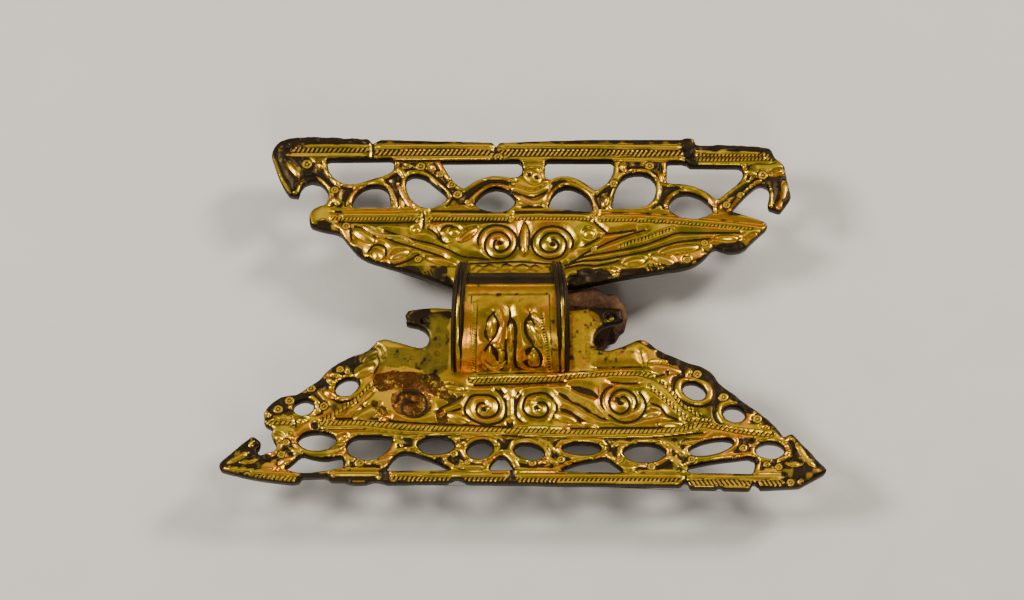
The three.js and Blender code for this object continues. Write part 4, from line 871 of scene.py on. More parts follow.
        (-31.1, -20, -29.6, -20, 0.8, "gold"), (-34.4, -22.4, -33.1, -23.4, 1.3, "gold"),
        (-32, -22.4, -31, -23.6, 0.8, "orange"), (-25, -23.2, -23.8, -22.4, 0.8, "orange"),
        (-37.9, -24.3, -37.1, -23.3, 0.7, "gold"), (-8, -24.3, -6.6, -23.4, 0.8, "orange"),
        (3.8, -26.9, 5.5, -26.6, 0.7, "orange"), (39.2, -25, 40.3, -25.8, 0.9, "gold"),
        (-3.3, -17.9, -4.4, -18.6, 0.8, "gold"), (3.3, -18.2, 4.1, -18.4, 0.8, "gold"),
        (13.8, -2.7, 15, -3.1, 0.8, "gold"), (-9.9, -14.2, -6.9, -14.9, 0.9, "gold"),
    ],
    "rings": [
        (27, -12.4, 0.55), (30.7, -16.2, 0.6), (35.5, -19.8, 0.6), (-33.9, -18.2, 0.6),
        (-32.3, -16.8, 0.6), (-29.2, -14.8, 0.55), (-25.1, -11.6, 0.5), (-27.3, -17.7, 0.55),
        (-38, -29, 0.55), (-41, -28.5, 0.4), (-32.6, -23.6, 0.45), (-33.2, -25.6, 0.5),
        (-21.9, -26.9, 0.6), (-8.4, -25.4, 0.5), (-6.4, -26.8, 0.4), (2.9, -26.9, 0.5), (7, -26.4, 0.5),
        (15.5, -26.4, 0.45), (20, -27.5, 0.5), (25.8, -26.4, 0.5), (33.3, -24.5, 0.5),
        (36.6, -27.2, 0.45), (38.3, -27.6, 0.5), (39.9, -30.1, 0.5), (41.4, -30, 0.4), (-17, -9.5, 0.35),
        (-14.6, -9.9, 0.35), (-15.8, -11.4, 0.35), (-13.4, -11.5, 0.35), (-18, -11.3, 0.35),
        (-10.8, -5.2, 0.35), (-10.8, -6.5, 0.35), (-10.8, -7.8, 0.35), (-10.9, -9.1, 0.35),
        (-10.9, -10.4, 0.35), (10.9, -5.2, 0.35), (10.9, -6.5, 0.35), (11, -7.8, 0.35), (11, -9.1, 0.35),
        (11, -10.2, 0.35), (13.8, -9.3, 0.35), (15.4, -9.1, 0.35), (17, -9, 0.35),
    ],
    "ground": [
        (-43, 46, -28.2, -22.9, 0.82), (-43, -30, -32, -28, 0.85), (-30, 46, -31.6, -30.4, 0.85),
        (38.5, 46, -30.5, -23, 0.85), (-43, -36, -28, -22, 0.85), (-37, -23.6, -19.4, -10, 0.66),
        (24.5, 39, -21, -8, 0.62), (-16, -12, -6, -1, 0.9), (12, 16.8, -8.4, -1, 0.75),
    ],
    "pits": [
        (-13, -3.6, 0.35), (13.6, -4, 0.35), (22.7, -12.1, 0.3), (-36.9, -23.8, 0.5), (-35.2, -26.1, 0.6),
        (-28.5, -20.9, 0.6), (-10.5, -26.7, 0.8), (34.9, -26.6, 0.7), (37.8, -26.6, 0.4),
        (-4, -18.2, 0.42), (15.3, -16.6, 0.5), (15.7, -17.1, 0.45), (3.6, -17.9, 0.4),
    ],
    "stains": {
        "dark": [
            (1.5, -29.9, -29.4, -26.7, -29.5), (0.9, -18.4, -28.2, -18, -30.6), (0.8, 0, -28.3, 0, -30.6),
            (1.2, -26.6, -26.5, -24.8, -26.7), (0.7, -42, -26.6, -40, -24.4, -38, -22.3),
            (0.8, -25.5, -30.6, -19, -30.6), (0.9, -14.6, -2.9, -12.2, -2.6, -9.4, -2.6),
            (0.9, -14, -5, -12.6, -5), (1.4, 12.2, -2.3, 15.6, -2.2), (1.2, 13, -5.2, 16, -4.8),
            (0.6, 12, -6, 12.1, -8),
        ],
        "grey": [(0.6, -19.4, -6.6, -12.4, -7.2)],
        "ochre": [
            (4.4, 10.6, -4, 10.6, -8, 10.6, -9.4), (2.4, 13.5, -10, 18, -9.8),
            (2.6, -10.5, -12.6, -8, -13.4),
        ],
        "moss": [(3.2, -11, -4, -11, -8, -11.4, -11), (3, -21, -9.4, -17, -9.6, -13.5, -10)],
        "brown": [(0.5, 8.5, -2.4, 8.5, -7, 8.6, -11.6)],
        "orange": [(0.9, -35, -28, -31, -28.4)],
        "gold": [
            (0.9, 7, -14.6, 10, -16.6, 13.2, -18.8), (0.8, 6.8, -16.6, 9.5, -18.4, 12.6, -20.4),
        ],
        "rust": [
            (2.6, -19, -13.9, -15, -13.6, -11.4, -14.2), (4.2, -15.4, -17, -13.8, -17.4),
            (1.2, -11, -15.5, -9, -16.4), (1, -20, -17.3, -18.6, -18.6), (0.8, -10.4, -18.6, -10, -20),
        ],
    },
}
footRelief = Relief(-43.2, 46.4, -32.2, 1.2, plateShape["step"], 31)
footInside = insideDistance(footRelief, outline[outline[:, :, 1].mean(1) < plateShape["split"]])
carve(footRelief, np.maximum(footInside, 0), footWork, 41)
footPlate = platePiece("foot_plate_carving", footRelief, footInside)

# ---- bow: its carving is laid out in the plane of the plates, as it shows along the 60 degree view
bowShape = {"footY": -12.3, "headY": 5.4, "radius": 7.8, "thickness": 2.0, "width": 17.3,
            "centreX": -0.25, "taper": 0.13, "ribRadius": 9.0, "ribCentreY": -3.6, "ribWidth": 1.9,
            "ribDepth": 3.0, "leg": 1.1, "ridgeAngle": 118.0, "ridgeHalf": 9.5, "ridgeRise": 0.55,
            "panelInset": 0.9, "spacing": 0.12, "viewStretch": 1.1547, "seenTo": 150.0,
            "fadeSpan": (140.0, 155.0), "carvingLevel": 0.35}
ribShape = {"columns": 31, "spacing": 0.3, "sunk": 0.42, "ridgePlace": 0.52, "ridgeWide": 0.26,
            "ridgeRise": 0.34, "channelRise": 0.2, "edge": 0.86, "edgeFall": 0.5, "wear": 0.07,
            "wornSpan": (68, 92)}
bowWork = {
    "warmer": 0.24, "seenShift": 0,
    "rims": [],
    "worn": [],
    "scribed": [
        (0.22, -6.2, 0.9, 0, 0.9, 5.2, 1), (0.16, -5.9, 0.6, -6, -4, -6.1, -8, -6.2, -12),
        (0.16, -5, -0.8, -5.1, -4, -5.2, -8, -5.25, -12), (0.16, 5.4, 0.8, 5.5, -4, 5.7, -8, 6, -12),
    ],
    "cuts": [
        (0.45, -2.7, -2.1, -3.4, -3, -3.6, -4.5, -3.85, -5.5, -3.7, -6.3, -3.3, -6.9),
        (0.45, -2.7, -2.1, -2.3, -3, -2, -3.8, -1.9, -4.5, -2.2, -5.3, -2.6, -6.3, -3.1, -7),
        (0.45, -3.1, -7, -3.6, -8, -4.1, -9, -4.35, -10), (0.85, -3, -7.7, -2.4, -9, -2.1, -10.3),
        (0.5, -1.4, -8.5, -0.9, -8.8, -0.8, -10, -0.75, -11),
        (0.5, -4.2, -11.3, -3.3, -12, -2.2, -12.2, -1.2, -11.6),
        (0.4, -0.35, -1.2, -0.25, -2.5, -0.35, -3.4, -0.75, -4.6, -0.8, -6, -0.95, -8, -0.8, -8.8),
        (0.5, -0.3, -2.8, 0.3, -3.6, 0.6, -5, 0.55, -7, 0.4, -9, 0.5, -11, 0.9, -11.7, 1.8, -12),
        (0.5, 2.6, -1.9, 2.5, -2.7, 2, -3.5, 1.9, -4.8, 2.1, -5.8, 2.6, -6.8, 3, -7.5, 3.1, -7.9),
        (0.35, 2.5, -2.7, 2.9, -3.3, 3.3, -4.2),
        (0.6, 3.1, -7.9, 2.4, -8.5, 1.9, -9.2, 1.8, -10, 2.1, -11, 2.5, -11.5),
        (0.5, 2.5, -11.5, 3.3, -11.6, 4.1, -11.4),
        (0.45, 3.1, -7.9, 3.8, -8.7, 4.2, -9.5, 4.3, -10.3, 4.1, -11.2),
    ],
    # the strip and the leaves in the palest tint carry painted highlights
    "stripes": [(0.8, "white", -4.1, -10.5, -3.5, -11.4, -2.5, -11.7, -1.5, -11.2, -1, -10.5)],
    "billets": [
        (0.5, 0.44, 0.6, 0.7, "gold", -5.5, -0.6, -5.55, -4, -5.6, -8, -5.7, -12),
        (0.45, 0.45, 0, 0.55, "gold", 4.3, -2, 4.6, -5, 4.95, -7, 5.2, -9, 5.5, -11.8),
    ],
    # leaves in the palest tint carry painted highlights
    "leaves": [
        (-2.8, -2.9, -3.1, -6.3, 1.4, "gold"), (-2.8, -7.7, -1.6, -8, 0.7, "white"),
        (2.3, -4, 4.2, -8, 1, "white"), (3.1, -2.4, 4.1, -4.5, 0.8, "white"),
        (3.1, -8.7, 3.2, -11, 1.5, "gold"), (-0.1, -3.9, -0.2, -8.5, 0.7, "gold"),
    ],
    "rings": [(1.4, -7.5, 0.3)],
    "ground": [],
    "pits": [(-2.65, -2.1, 0.3), (2.5, -3.1, 0.4)],
    "stains": {
        "dark": [(2, -6.2, 3.4, 0, 3.4, 5.6, 3.6)],
        "brown": [(0.5, -6.9, 0, -6.95, -6, -7.1, -12), (0.6, 6.2, 0, 6.5, -6, 6.7, -12)],
        "ochre": [
            (2.2, -6, 2, 0, 2, 5.4, 2.1), (0.9, 6.2, 0.5, 6.4, -5, 6.6, -12),
            (1, -7, 0.5, -7, -5, -7.2, -12), (1.4, -4.4, -0.4, 4, -0.3),
        ],
        "orange": [
            (0.7, -6.6, -1, -6.6, -6, -6.7, -12), (0.5, -4.4, -12.2, -4.3, -9), (0.6, -1.3, -1, -1.2, -6),
            (0.5, 1.2, -6, 1.4, -10), (0.5, -6, 1.7, 0, 1.8, 5.2, 2.1),
        ],
    },
}
bowRelief = Relief(-10.5, 10.5, -13.5, 5.5, 0.12, 51)
bowRelief.trough, bowRelief.endLift = 0.4, 0.0
carve(bowRelief, np.full(bowRelief.gridX.shape, 3.0), bowWork, 61)


def sampled(relief, values, x, y):
    # values of a relief between its grid points: the four corners weighted by their nearness
    u = np.clip((x - relief.xs[0]) / relief.step, 0, len(relief.xs) - 1.001)
    v = np.clip((y - relief.ys[0]) / relief.step, 0, len(relief.ys) - 1.001)
    j, i = u.astype(int), v.astype(int)
    u, v = u - j, v - i
    return ((values[i, j] * (1 - u) + values[i, j + 1] * u) * (1 - v)
            + (values[i + 1, j] * (1 - u) + values[i + 1, j + 1] * u) * v)


def narrowed(x, y):
    # the bow narrows to the head: x' = c + (x - c) (1 - taper t |t|), t from the foot to the head
    t = (y - bowShape["footY"]) / (bowShape["headY"] - bowShape["footY"])
    return bowShape["centreX"] + x * (1 - bowShape["taper"] * t * np.abs(t))


def archPath(radius, centreY, spacing):
    # straight leg, half circle, straight leg, as centre points, outward directions and angles
    legs = np.arange(-bowShape["leg"], 0, 0.25)
    angles = np.linspace(0, math.pi, max(24, int(math.pi * radius / spacing)))
    y = np.concatenate([np.full(len(legs), -radius), -radius * np.cos(angles), np.full(len(legs), radius)])
    z = np.concatenate([legs, radius * np.sin(angles), legs[::-1]])
    outward = np.concatenate([np.zeros(len(legs)), angles, np.full(len(legs), math.pi)])
    return centreY + y, z, outward


def bowPanel():
    # outer face r = R + relief(x, v), inner face r = R - thickness, closed at the sides
    radius = bowShape["radius"]
    centreY = bowShape["footY"] + radius
    y, z, angle = archPath(radius, centreY, bowShape["spacing"])
    half = bowShape["width"] / 2 - bowShape["panelInset"]
    x = np.arange(-half, half + 0.01, bowShape["spacing"])
    seen = np.minimum(angle, math.radians(bowShape["seenTo"])) + math.radians(30)
    apparent = centreY - radius * bowShape["viewStretch"] * np.cos(seen)
    gridX, gridV = np.meshgrid(x, apparent)
    gridX = narrowed(gridX, np.repeat(y[:, None], len(x), axis=1))
    fade = (1 - eased(angle, *np.radians(bowShape["fadeSpan"])))[:, None]
    onArch = ((z > 0) * 1.0)[:, None]
    carved = sampled(bowRelief, bowRelief.height, gridX, gridV)
    lift = (carved - bowShape["carvingLevel"]) * fade * onArch
    turn = np.degrees(angle)[:, None]
    ridge = np.clip(1 - ((turn - bowShape["ridgeAngle"]) / bowShape["ridgeHalf"]) ** 2, 0, 1)
    lift = lift + bowShape["ridgeRise"] * np.sqrt(ridge)
    out = np.stack([np.zeros_like(angle), -np.cos(angle), np.sin(angle)], axis=-1)
    middle = np.stack([np.zeros_like(y), y, z], axis=-1)
    outer = middle[:, None, :] + out[:, None, :] * lift[:, :, None]
    outer[:, :, 0] = gridX
    inner = np.repeat((middle - out * bowShape["thickness"])[:, None, :], len(x), axis=1)
    inner[:, :, 0] = gridX
    grid = np.concatenate([outer, inner[:, ::-1]], axis=1)
    marks = {}
    for mark, values, plain in (("tarnish", bowRelief.tarnish, 0.45), ("warmth", bowRelief.warmth, 0.5),
                                ("paleness", bowRelief.paleness, 0.1), ("rust", bowRelief.rust, 0.1)):
        face = sampled(bowRelief, values, gridX, gridV) * fade + plain * (1 - fade)
        if mark == "tarnish":
            face = np.maximum(face, 0.9 * eased(ridge, 0.0, 0.4) * np.ones_like(face))
        marks[mark] = np.concatenate([face, np.full_like(face, plain)], axis=1)
    return grid, marks


def bowRib(side):
    # profile of two dark ridges and a gilt channel between, u from -1 to 1 across, carried along an arch
    radius = bowShape["ribRadius"]
    y, z, angle = archPath(radius, bowShape["ribCentreY"], ribShape["spacing"])
    half = bowShape["ribWidth"] / 2
    u = np.linspace(-1, 1, ribShape["columns"])
    place, wide = ribShape["ridgePlace"], ribShape["ridgeWide"]
    left, right = np.exp(-((u + place) / wide) ** 2), np.exp(-((u - place) / wide) ** 2)
    ridges = ribShape["ridgeRise"] * (left + right)
    channel = ribShape["channelRise"] * np.clip(1 - (u / wide) ** 2, 0, 1)
    beyond = np.clip(np.abs(u) - ribShape["edge"], 0, 1)
    drop = -ribShape["sunk"] + ridges + channel - ribShape["edgeFall"] * beyond
    out = np.stack([np.zeros_like(angle), -np.cos(angle), np.sin(angle)], axis=-1)
    middle = np.stack([np.zeros_like(y), y, z], axis=-1)
    wear = ribShape["wear"] * unevenness((len(y), len(u)), 5, 71 + side)
    outer = middle[:, None, :] + out[:, None, :] * (drop[None, :, None] + wear[:, :, None])
    inner = np.repeat((middle - out * bowShape["ribDepth"])[:, None, :], len(u), axis=1)
    centre = side * (bowShape["width"] / 2 - half)
    across = narrowed(centre + u[None, :] * half, np.repeat(y[:, None], len(u), axis=1))
    outer[:, :, 0] = across
    inner[:, :, 0] = across
    grid = np.concatenate([outer, inner[:, ::-1]], axis=1)
    high = eased(np.degrees(angle), *ribShape["wornSpan"])[:, None]  # near the top the gilding is worn off
    gilt = (1 - eased(np.abs(u), 0.16, 0.27))[None, :] * (1 - 0.95 * high)
    tarnish = 0.98 * (1 - gilt) - 0.12 * high
    pale = 0.1 + 0.3 * high + 0 * gilt
    marks = {"tarnish": np.concatenate([tarnish, np.full_like(tarnish, 0.6)], axis=1),
             "warmth": np.full((len(y), 2 * len(u)), 0.35), "rust": np.zeros((len(y), 2 * len(u))),
             "paleness": np.concatenate([pale, np.full_like(pale, 0.1)], axis=1)}
    return grid, marks


def tubes(name, parts, crease=45.0):
    # several closed tubes in one mesh
    points, faces, marks, count = [], [], {}, 0
    for grid, values in parts:
        points.append(grid.reshape(-1, 3))
        faces += tubeFaces(grid.shape[0], grid.shape[1], count)
        for mark, value in values.items():
            marks.setdefault(mark, []).append(value.ravel())
        count += grid.shape[0] * grid.shape[1]
    marks = {mark: np.concatenate(value) for mark, value in marks.items()}
    print("stage:", name, "triangles", sum(len(part) * 2 for part in faces))
    return makeMesh(name, np.concatenate(points), faces, marks, crease)


bowPiece = tubes("bow_carving", [bowPanel(), bowRib(-1), bowRib(1)])

# ---- catch and lug behind the plates
fittings = {"catchX": 0.4, "catchY": -12.2, "catchLength": 7.0, "catchThickness": 1.2,
            "catchRadius": 1.8, "rest": -8.6, "back": -1.6, "lugX": 4.5, "lugY": (2.9, 6.4),
            "lugThickness": 1.6, "lugDepth": 5.2, "lugPower": 0.33}


def catchGrid():
    # a J: straight down from the back, then three quarters of a roll, with its thickness inwards
    radius, thick = fittings["catchRadius"], fittings["catchThickness"]
    turn = np.linspace(math.pi, 2.15 * math.pi, 22)
    rollX, rollZ = fittings["catchX"] + radius, fittings["rest"] + radius
    down = np.linspace(fittings["back"] + 0.4, rollZ, 12)[:-1]
    outer = np.concatenate([np.column_stack([np.full(len(down), fittings["catchX"]), down]),
                            np.column_stack([rollX + radius * np.cos(turn), rollZ + radius * np.sin(turn)])])
    near = radius - thick
    inner = np.concatenate([np.column_stack([np.full(len(down), fittings["catchX"] + thick), down]),
                            np.column_stack([rollX + near * np.cos(turn), rollZ + near * np.sin(turn)])])
    profile = np.concatenate([outer, inner[::-1]])
    middle = np.concatenate([(outer + inner) / 2, ((outer + inner) / 2)[::-1]])
    along = np.concatenate([[0.0, 0.12, 0.4], np.linspace(1, fittings["catchLength"] - 1, 14),
                            fittings["catchLength"] - np.array([0.4, 0.12, 0.0])])
    shrink = np.clip(np.minimum(along, along.max() - along) / 0.4, 0, 1)
    shrink = 0.82 + 0.18 * np.sqrt(shrink)  # rounded ends
    section = middle[None] + (profile - middle)[None] * shrink[:, None, None]
    y = np.repeat((fittings["catchY"] - along)[:, None], len(profile), axis=1)
    grid = np.stack([section[:, :, 0], y, section[:, :, 1]], axis=-1)
    grid[:, :, 0] += 0.05 * unevenness(grid.shape[:2], 4, 83)
    return grid


def lugGrid():
    # rounded plate: |x / a|^6 + |y / b|^6 = 1 at each level, drawn in towards its foot
    turn = np.linspace(0, 2 * math.pi, 48, endpoint=False)
    half = (fittings["lugY"][1] - fittings["lugY"][0]) / 2
    middle = sum(fittings["lugY"]) / 2
    waves = np.cos(turn), np.sin(turn)
    across, along = [np.sign(wave) * np.abs(wave) ** fittings["lugPower"] for wave in waves]
    level = np.array([0, 0.04, 0.12, 0.3, 0.5, 0.7, 0.88, 1.0])
    z = fittings["back"] - fittings["lugDepth"] + level * (fittings["lugDepth"] + 0.4)
    size = np.array([0.86, 0.95, 1, 1, 1, 1, 1, 1.0])[:, None]
    x = fittings["lugX"] + size * across[None, :] * fittings["lugThickness"] / 2
    y = middle + size * along[None, :] * half
    return np.stack([x, y, np.repeat(z[:, None], len(turn), axis=1)], axis=-1)


def plainMarks(grid, tarnish, warmth, paleness, seed):
    # the same marks all over, with a little seeded unevenness
    uneven = unevenness(grid.shape[:2], 3, seed)
    return {"tarnish": np.clip(tarnish + 0.2 * uneven, 0, 1), "warmth": warmth + 0 * uneven,
            "paleness": paleness + 0 * uneven, "rust": 0.25 + 0.25 * uneven}


catchPoints, lugPoints = catchGrid(), lugGrid()
fittingsPiece = tubes("catch_and_lug", [(catchPoints, plainMarks(catchPoints, 0.55, 0.4, 0.3, 84)),
                                        (lugPoints, plainMarks(lugPoints, 0.6, 0.4, 0.3, 85))])

# ---- the spring's rusted lump
springShape = {"left": -7.0, "right": 17.2, "y": -0.3, "radiusY": 4.9, "radiusZ": 4.0, "rest": -8.6,
               "top": -1.9, "bulgeX": 10.9, "bulgeY": 0.3, "bulgeTop": -0.4, "bulgeRise": 1.6,
               "bulgeLong": 3.4, "bulgeWide": 1.9, "coilRise": 0.02, "coilPitch": 1.9, "columns": 150,
               "rows": 230, "lap": 40}


def seamless(shape, cell, seed):
    # an uneven field that is the same on both sides of the rings' seam: f w + f' (1 - w) over the overlap
    lap = springShape["lap"]
    field = unevenness((shape[0], shape[1] + lap), cell, seed)
    blend = np.linspace(0, 1, lap)[None, :]
    field[:, :lap] = field[:, :lap] * blend + field[:, shape[1]:] * (1 - blend)
    return field[:, :shape[1]]


def springLump():
    # rings round x: reach(x) (cos a, sin a) with seeded crusts, coils that still show as waves along x,
    # flat where it rests, and a swelling that comes up in the gap between the plates
    share = (1 - np.cos(np.linspace(0, math.pi, springShape["rows"]))) / 2
    reach = np.interp(share, [0, 0.03, 0.12, 0.3, 0.5, 0.64, 0.8, 0.92, 0.98, 1],
                      [0.02, 0.5, 0.72, 0.84, 0.94, 1, 1, 0.8, 0.45, 0.02])
    around = np.linspace(0, 2 * math.pi, springShape["columns"], endpoint=False)
    x = springShape["left"] + share * (springShape["right"] - springShape["left"])
    shape = (len(share), len(around))
    rough = (0.07 * seamless(shape, 22, 91) + 0.05 * seamless(shape, 9, 92) + 0.03 * seamless(shape, 4, 93)
             + 0.014 * seamless(shape, 2, 94))
    waves = np.cos(2 * math.pi * x / springShape["coilPitch"])[:, None]
    coils = springShape["coilRise"] * waves * np.ones(shape)
    swell = 0.97 * reach[:, None] * (1 + rough + coils)
    centreZ = springShape["rest"] + springShape["radiusZ"] - 0.5
    y = springShape["y"] + springShape["radiusY"] * swell * np.sin(around)[None, :]
    z = centreZ + springShape["radiusZ"] * swell * np.cos(around)[None, :]
    xs = np.repeat(x[:, None], shape[1], axis=1)
    hump = np.exp(-((xs - springShape["bulgeX"]) / springShape["bulgeLong"]) ** 2
                  - ((y - springShape["bulgeY"]) / springShape["bulgeWide"]) ** 2)
    raised = z + hump * springShape["bulgeRise"] * (1 + 0.5 * seamless(shape, 9, 95))
    z = np.where(np.cos(around)[None, :] > 0, raised, z)
    roof = springShape["top"] + (springShape["bulgeTop"] - springShape["top"]) * np.clip(1.4 * hump, 0, 1)
    z = np.minimum(z, roof - 0.12 + 0.12 * seamless(shape, 7, 96))
    z = np.maximum(z, springShape["rest"] + 0.05 * (1 + seamless(shape, 8, 97)) * 0.5)
    grid = np.stack([xs, y, z], axis=-1)
    marks = {"crustDepth": np.clip(0.5 + 6 * rough, 0, 1),
             "gilt": eased(seamless(shape, 14, 98), 0.75, 0.95)}
    return grid, marks


springPiece = tubes("spring_rust", [springLump()], crease=70.0)


# ---- materials
class Flow:
    # one output socket of a material's tree, so that shader maths reads as plain expressions
    def __init__(self, tree, outlet=None):
        self.tree = tree
        self.outlet = outlet

    def node(self, kind, settings, values, outlet=0):
        made = self.tree.nodes.new(kind)
        for key, value in settings.items():
            if key == "stops":
                stops = made.color_ramp.elements
                while len(stops) < len(value):
                    stops.new(0.5)
                for stop, (place, colour) in zip(stops, value):
                    stop.position = place
                    stop.color = colour
            else:
                setattr(made, key, value)
        for key, value in values.items():
            if isinstance(value, Flow):
                self.tree.links.new(value.outlet, made.inputs[key])
            else:
                made.inputs[key].default_value = value
        return Flow(self.tree, made.outputs[outlet])

    def maths(self, operation, first, second, clamp=False):
        settings = {"operation": operation, "use_clamp": clamp}
        return self.node("ShaderNodeMath", settings, {0: first, 1: second})

    def __add__(self, other):
        return self.maths("ADD", self, other)

    def __radd__(self, other):
        return self.maths("ADD", other, self)

    def __sub__(self, other):
        return self.maths("SUBTRACT", self, other)

    def __rsub__(self, other):
        return self.maths("SUBTRACT", other, self)

    def __mul__(self, other):
        return self.maths("MULTIPLY", self, other)

    def __rmul__(self, other):
        return self.maths("MULTIPLY", other, self)

    def clamped(self):
        return self.maths("ADD", self, 0.0, True)

    def mark(self, name):
        return self.node("ShaderNodeAttribute", {"attribute_name": name}, {}, "Fac")

    def noise(self, scale, detail=3.0, roughness=0.55, distortion=0.0):
        place = self.node("ShaderNodeTexCoord", {}, {}, "Object")
        return self.node("ShaderNodeTexNoise", {}, {"Vector": place, "Scale": scale, "Detail": detail,
                                                   "Roughness": roughness, "Distortion": distortion}, "Fac")

    def mixed(self, share, first, second):
        # first where share is 0, second where it is 1
        return self.node("ShaderNodeMix", {"data_type": "RGBA"}, {0: share, 6: first, 7: second}, 2)

    def ramp(self, value, *stops):
        return self.node("ShaderNodeValToRGB", {"stops": stops}, {"Fac": value}, "Color")

    def step(self, value, low, high):
        return self.node("ShaderNodeMapRange", {"interpolation_type": "SMOOTHSTEP"},
                         {"Value": value, "From Min": low, "From Max": high}, "Result")


def newMaterial(name):
    material = bpy.data.materials.new(name)
    material.use_nodes = True
    material.node_tree.nodes.clear()
    return material, Flow(material.node_tree)


def finishSurface(flow, values):
    shader = flow.node("ShaderNodeBsdfPrincipled", {}, values, "BSDF")
    output = flow.tree.nodes.new("ShaderNodeOutputMaterial")
    flow.tree.links.new(shader.outlet, output.inputs["Surface"])


# the darkest colours serve tarnish and painted shade alike; the palest serves paler gilding and painted
# highlights
gilding = {
    "olive": (0.37, 0.27, 0.014, 1), "yellow": (0.64, 0.38, 0.018, 1), "copper": (0.72, 0.27, 0.025, 1),
    "paleGoldAndHighlight": (0.97, 0.68, 0.14, 1), "tarnish": (0.009, 0.007, 0.004, 1),
    "tarnishAndShadeWarm": (0.045, 0.026, 0.008, 1), "rust": (0.085, 0.025, 0.008, 1),
    "rustDeep": (0.016, 0.006, 0.003, 1), "roughness": 0.3, "bump": 0.5, "bumpDepth": 0.00006,
}


def giltSilver():
    material, flow = newMaterial("gilt_silver_finish")
    tarnish, warmth = flow.mark("tarnish"), flow.mark("warmth")
    paleness, rusty = flow.mark("paleness"), flow.mark("rust")
    cloud = flow.noise(520.0, 4.0)
    grain = flow.noise(2600.0, 3.0, 0.6)
    speck = flow.noise(1500.0, 2.0, 0.5, 0.6)
    warm = (warmth + (cloud - 0.5) * 1.1 + (speck - 0.5) * 0.35).clamped()
    gold = flow.mixed(flow.step(warm, 0.1, 0.55), gilding["olive"], gilding["yellow"])
    gold = flow.mixed(flow.step(warm, 0.55, 1.0), gold, gilding["copper"])
    pale = (paleness * (0.5 + 0.8 * (cloud - 0.1))).clamped()
    # paleness lightens the gold towards its palest tone: paler gilding at random and on worn tops, and
    # painted highlights where the palest tints put it
    gold = flow.mixed(pale, gold, gilding["paleGoldAndHighlight"])
    rusted = flow.step(rusty + (speck - 0.5) * 1.5 + (cloud - 0.5) * 1.2, 0.45, 0.95)
    crust = flow.noise(2100.0, 4.0, 0.6)
    rustColour = flow.mixed(flow.step(crust, 0.4, 0.62), gilding["rustDeep"], gilding["rust"])
    gold = flow.mixed(rusted * 0.92, gold, rustColour)
    # the dark mark darkens the gold: tarnish and dirt, and painted shade on the walls and arrises
    dull = flow.step(tarnish + (speck - 0.5) * 0.2, 0.2, 0.75)
    dirtAndShade = flow.mixed(cloud, gilding["tarnish"], gilding["tarnishAndShadeWarm"])
    colour = flow.mixed(dull, gold, dirtAndShade)
    roughness = (gilding["roughness"] + (grain - 0.5) * 0.14 + dull * 0.16 + rusted * 0.08).clamped()
    metal = (1.0 - dull * 0.2 - rusted * 0.08).clamped()
    relief = grain * 0.6 + speck * 0.7 + rusted * crust * 5.0
    bump = flow.node("ShaderNodeBump", {}, {"Height": relief, "Strength": gilding["bump"],
                                            "Distance": gilding["bumpDepth"]}, "Normal")
    finishSurface(flow, {"Base Color": colour, "Metallic": metal, "Roughness": roughness, "Normal": bump})
    return material


iron = {  # places and colours of the rust from its pits to its crumbs
    "ramp": ((0.0, (0.014, 0.007, 0.004, 1)), (0.42, (0.045, 0.02, 0.008, 1)), (0.6, (0.1, 0.043, 0.015, 1)),
             (0.78, (0.18, 0.085, 0.03, 1)), (1.0, (0.28, 0.16, 0.07, 1))),
    "speckle": (0.3, 0.18, 0.09, 1), "roughness": 0.75, "bump": 0.8, "bumpDepth": 0.00035,
}


def rustedIron():
    material, flow = newMaterial("rusted_iron_finish")
    depth, gilt = flow.mark("crustDepth"), flow.mark("gilt")
    cloud = flow.noise(300.0, 5.0, 0.6)
    crumb = flow.noise(1300.0, 4.0, 0.65, 0.4)
    grain = flow.noise(4200.0, 2.0)
    share = (cloud * 0.6 + crumb * 0.5 + (depth - 0.5) * 0.35).clamped()
    colour = flow.ramp(share, *iron["ramp"])
    speckle = flow.step(crumb, 0.66, 0.74)
    colour = flow.mixed(speckle * 0.35, colour, iron["speckle"])
    roughness = (iron["roughness"] + (grain - 0.5) * 0.2 - speckle * 0.15).clamped()
    relief = crumb * 1.2 + grain * 0.3 + cloud * 0.8
    bump = flow.node("ShaderNodeBump", {}, {"Height": relief, "Strength": iron["bump"],
                                            "Distance": iron["bumpDepth"]}, "Normal")
    finishSurface(flow, {"Base Color": colour, "Metallic": gilt * 0.15, "Roughness": roughness,
                         "Specular IOR Level": 0.25, "Normal": bump})
    return material


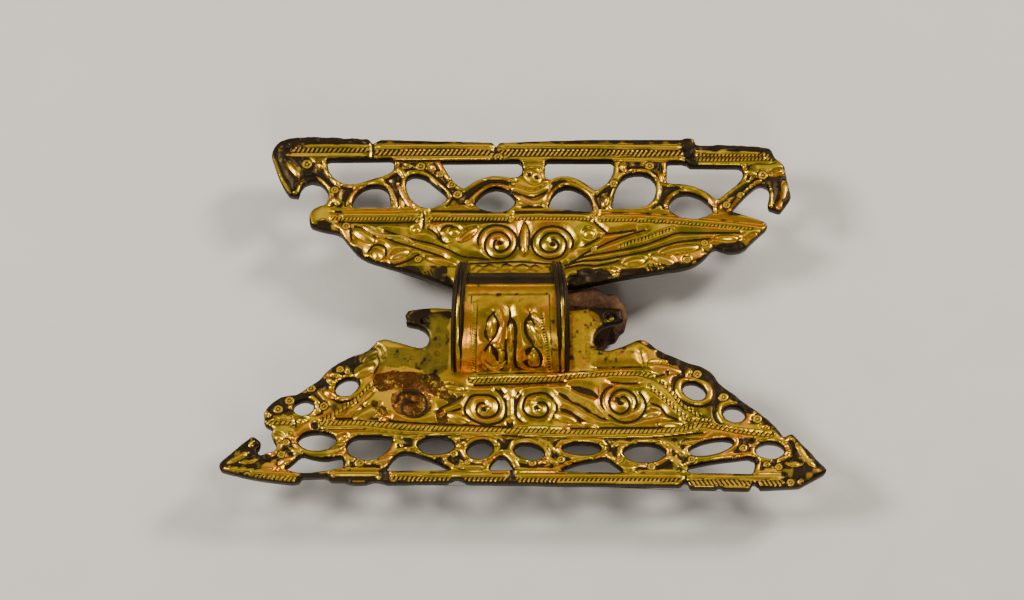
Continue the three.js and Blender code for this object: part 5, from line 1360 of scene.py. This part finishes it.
def paleFloor():
    material, flow = newMaterial("pale_floor_finish")
    cloud = flow.noise(90.0, 3.0)
    fine = flow.noise(1400.0, 2.0)
    colour = flow.mixed(cloud, (0.66, 0.64, 0.6, 1), (0.72, 0.7, 0.67, 1))
    bump = flow.node("ShaderNodeBump", {}, {"Height": fine, "Strength": 0.15, "Distance": 0.0002}, "Normal")
    finishSurface(flow, {"Base Color": colour, "Roughness": 0.85 + (fine - 0.5) * 0.1, "Normal": bump})
    return material


goldFinish, ironFinish = giltSilver(), rustedIron()
for piece in (headPlate, footPlate, bowPiece, fittingsPiece):
    piece.data.materials.append(goldFinish)
    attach(piece, "root")
    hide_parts("brooch_body")
springPiece.data.materials.append(ironFinish)
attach(springPiece, "root")
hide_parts("pin_spring_remains")
print("stage: pieces ride on the frame")

# ---- floor and lights
floorMesh = bpy.data.meshes.new("floor")
floorMesh.from_pydata([(-2, -2, 0), (2, -2, 0), (2, 2, 0), (-2, 2, 0)], [], [(0, 1, 2, 3)])
floorPiece = bpy.data.objects.new("floor", floorMesh)
bpy.context.scene.collection.objects.link(floorPiece)
floorMesh.materials.append(paleFloor())

lamps = {  # place in m from the plates' middle, size in m, power in W, colour
    "overhead": ((0.02, 0.3, 0.52), 0.42, 0.42, (1.0, 0.95, 0.88)),
    "left": ((-0.42, 0.02, 0.36), 0.14, 2.6, (1.0, 0.94, 0.86)),
    "right": ((0.36, 0.2, 0.34), 0.12, 2.2, (1.0, 0.92, 0.82)),
    "front": ((0.06, -0.5, 0.34), 0.14, 0.9, (1.0, 0.95, 0.88)),
}
for name, (place, size, power, colour) in lamps.items():
    light = bpy.data.lights.new(name, "AREA")
    light.shape = "SQUARE"
    light.size = size
    light.energy = power
    light.color = colour
    lamp = bpy.data.objects.new(name, light)
    lamp.location = aim + Vector(place)
    lamp.rotation_euler = Vector(place).to_track_quat("Z", "Y").to_euler()
    bpy.context.scene.collection.objects.link(lamp)

sky = {"colour": (0.84, 0.79, 0.7, 1), "strength": 0.3}
world = bpy.data.worlds.new("studio")
world.use_nodes = True
backdrop = world.node_tree.nodes["Background"].inputs
backdrop["Color"].default_value = sky["colour"]
backdrop["Strength"].default_value = sky["strength"]
bpy.context.scene.world = world
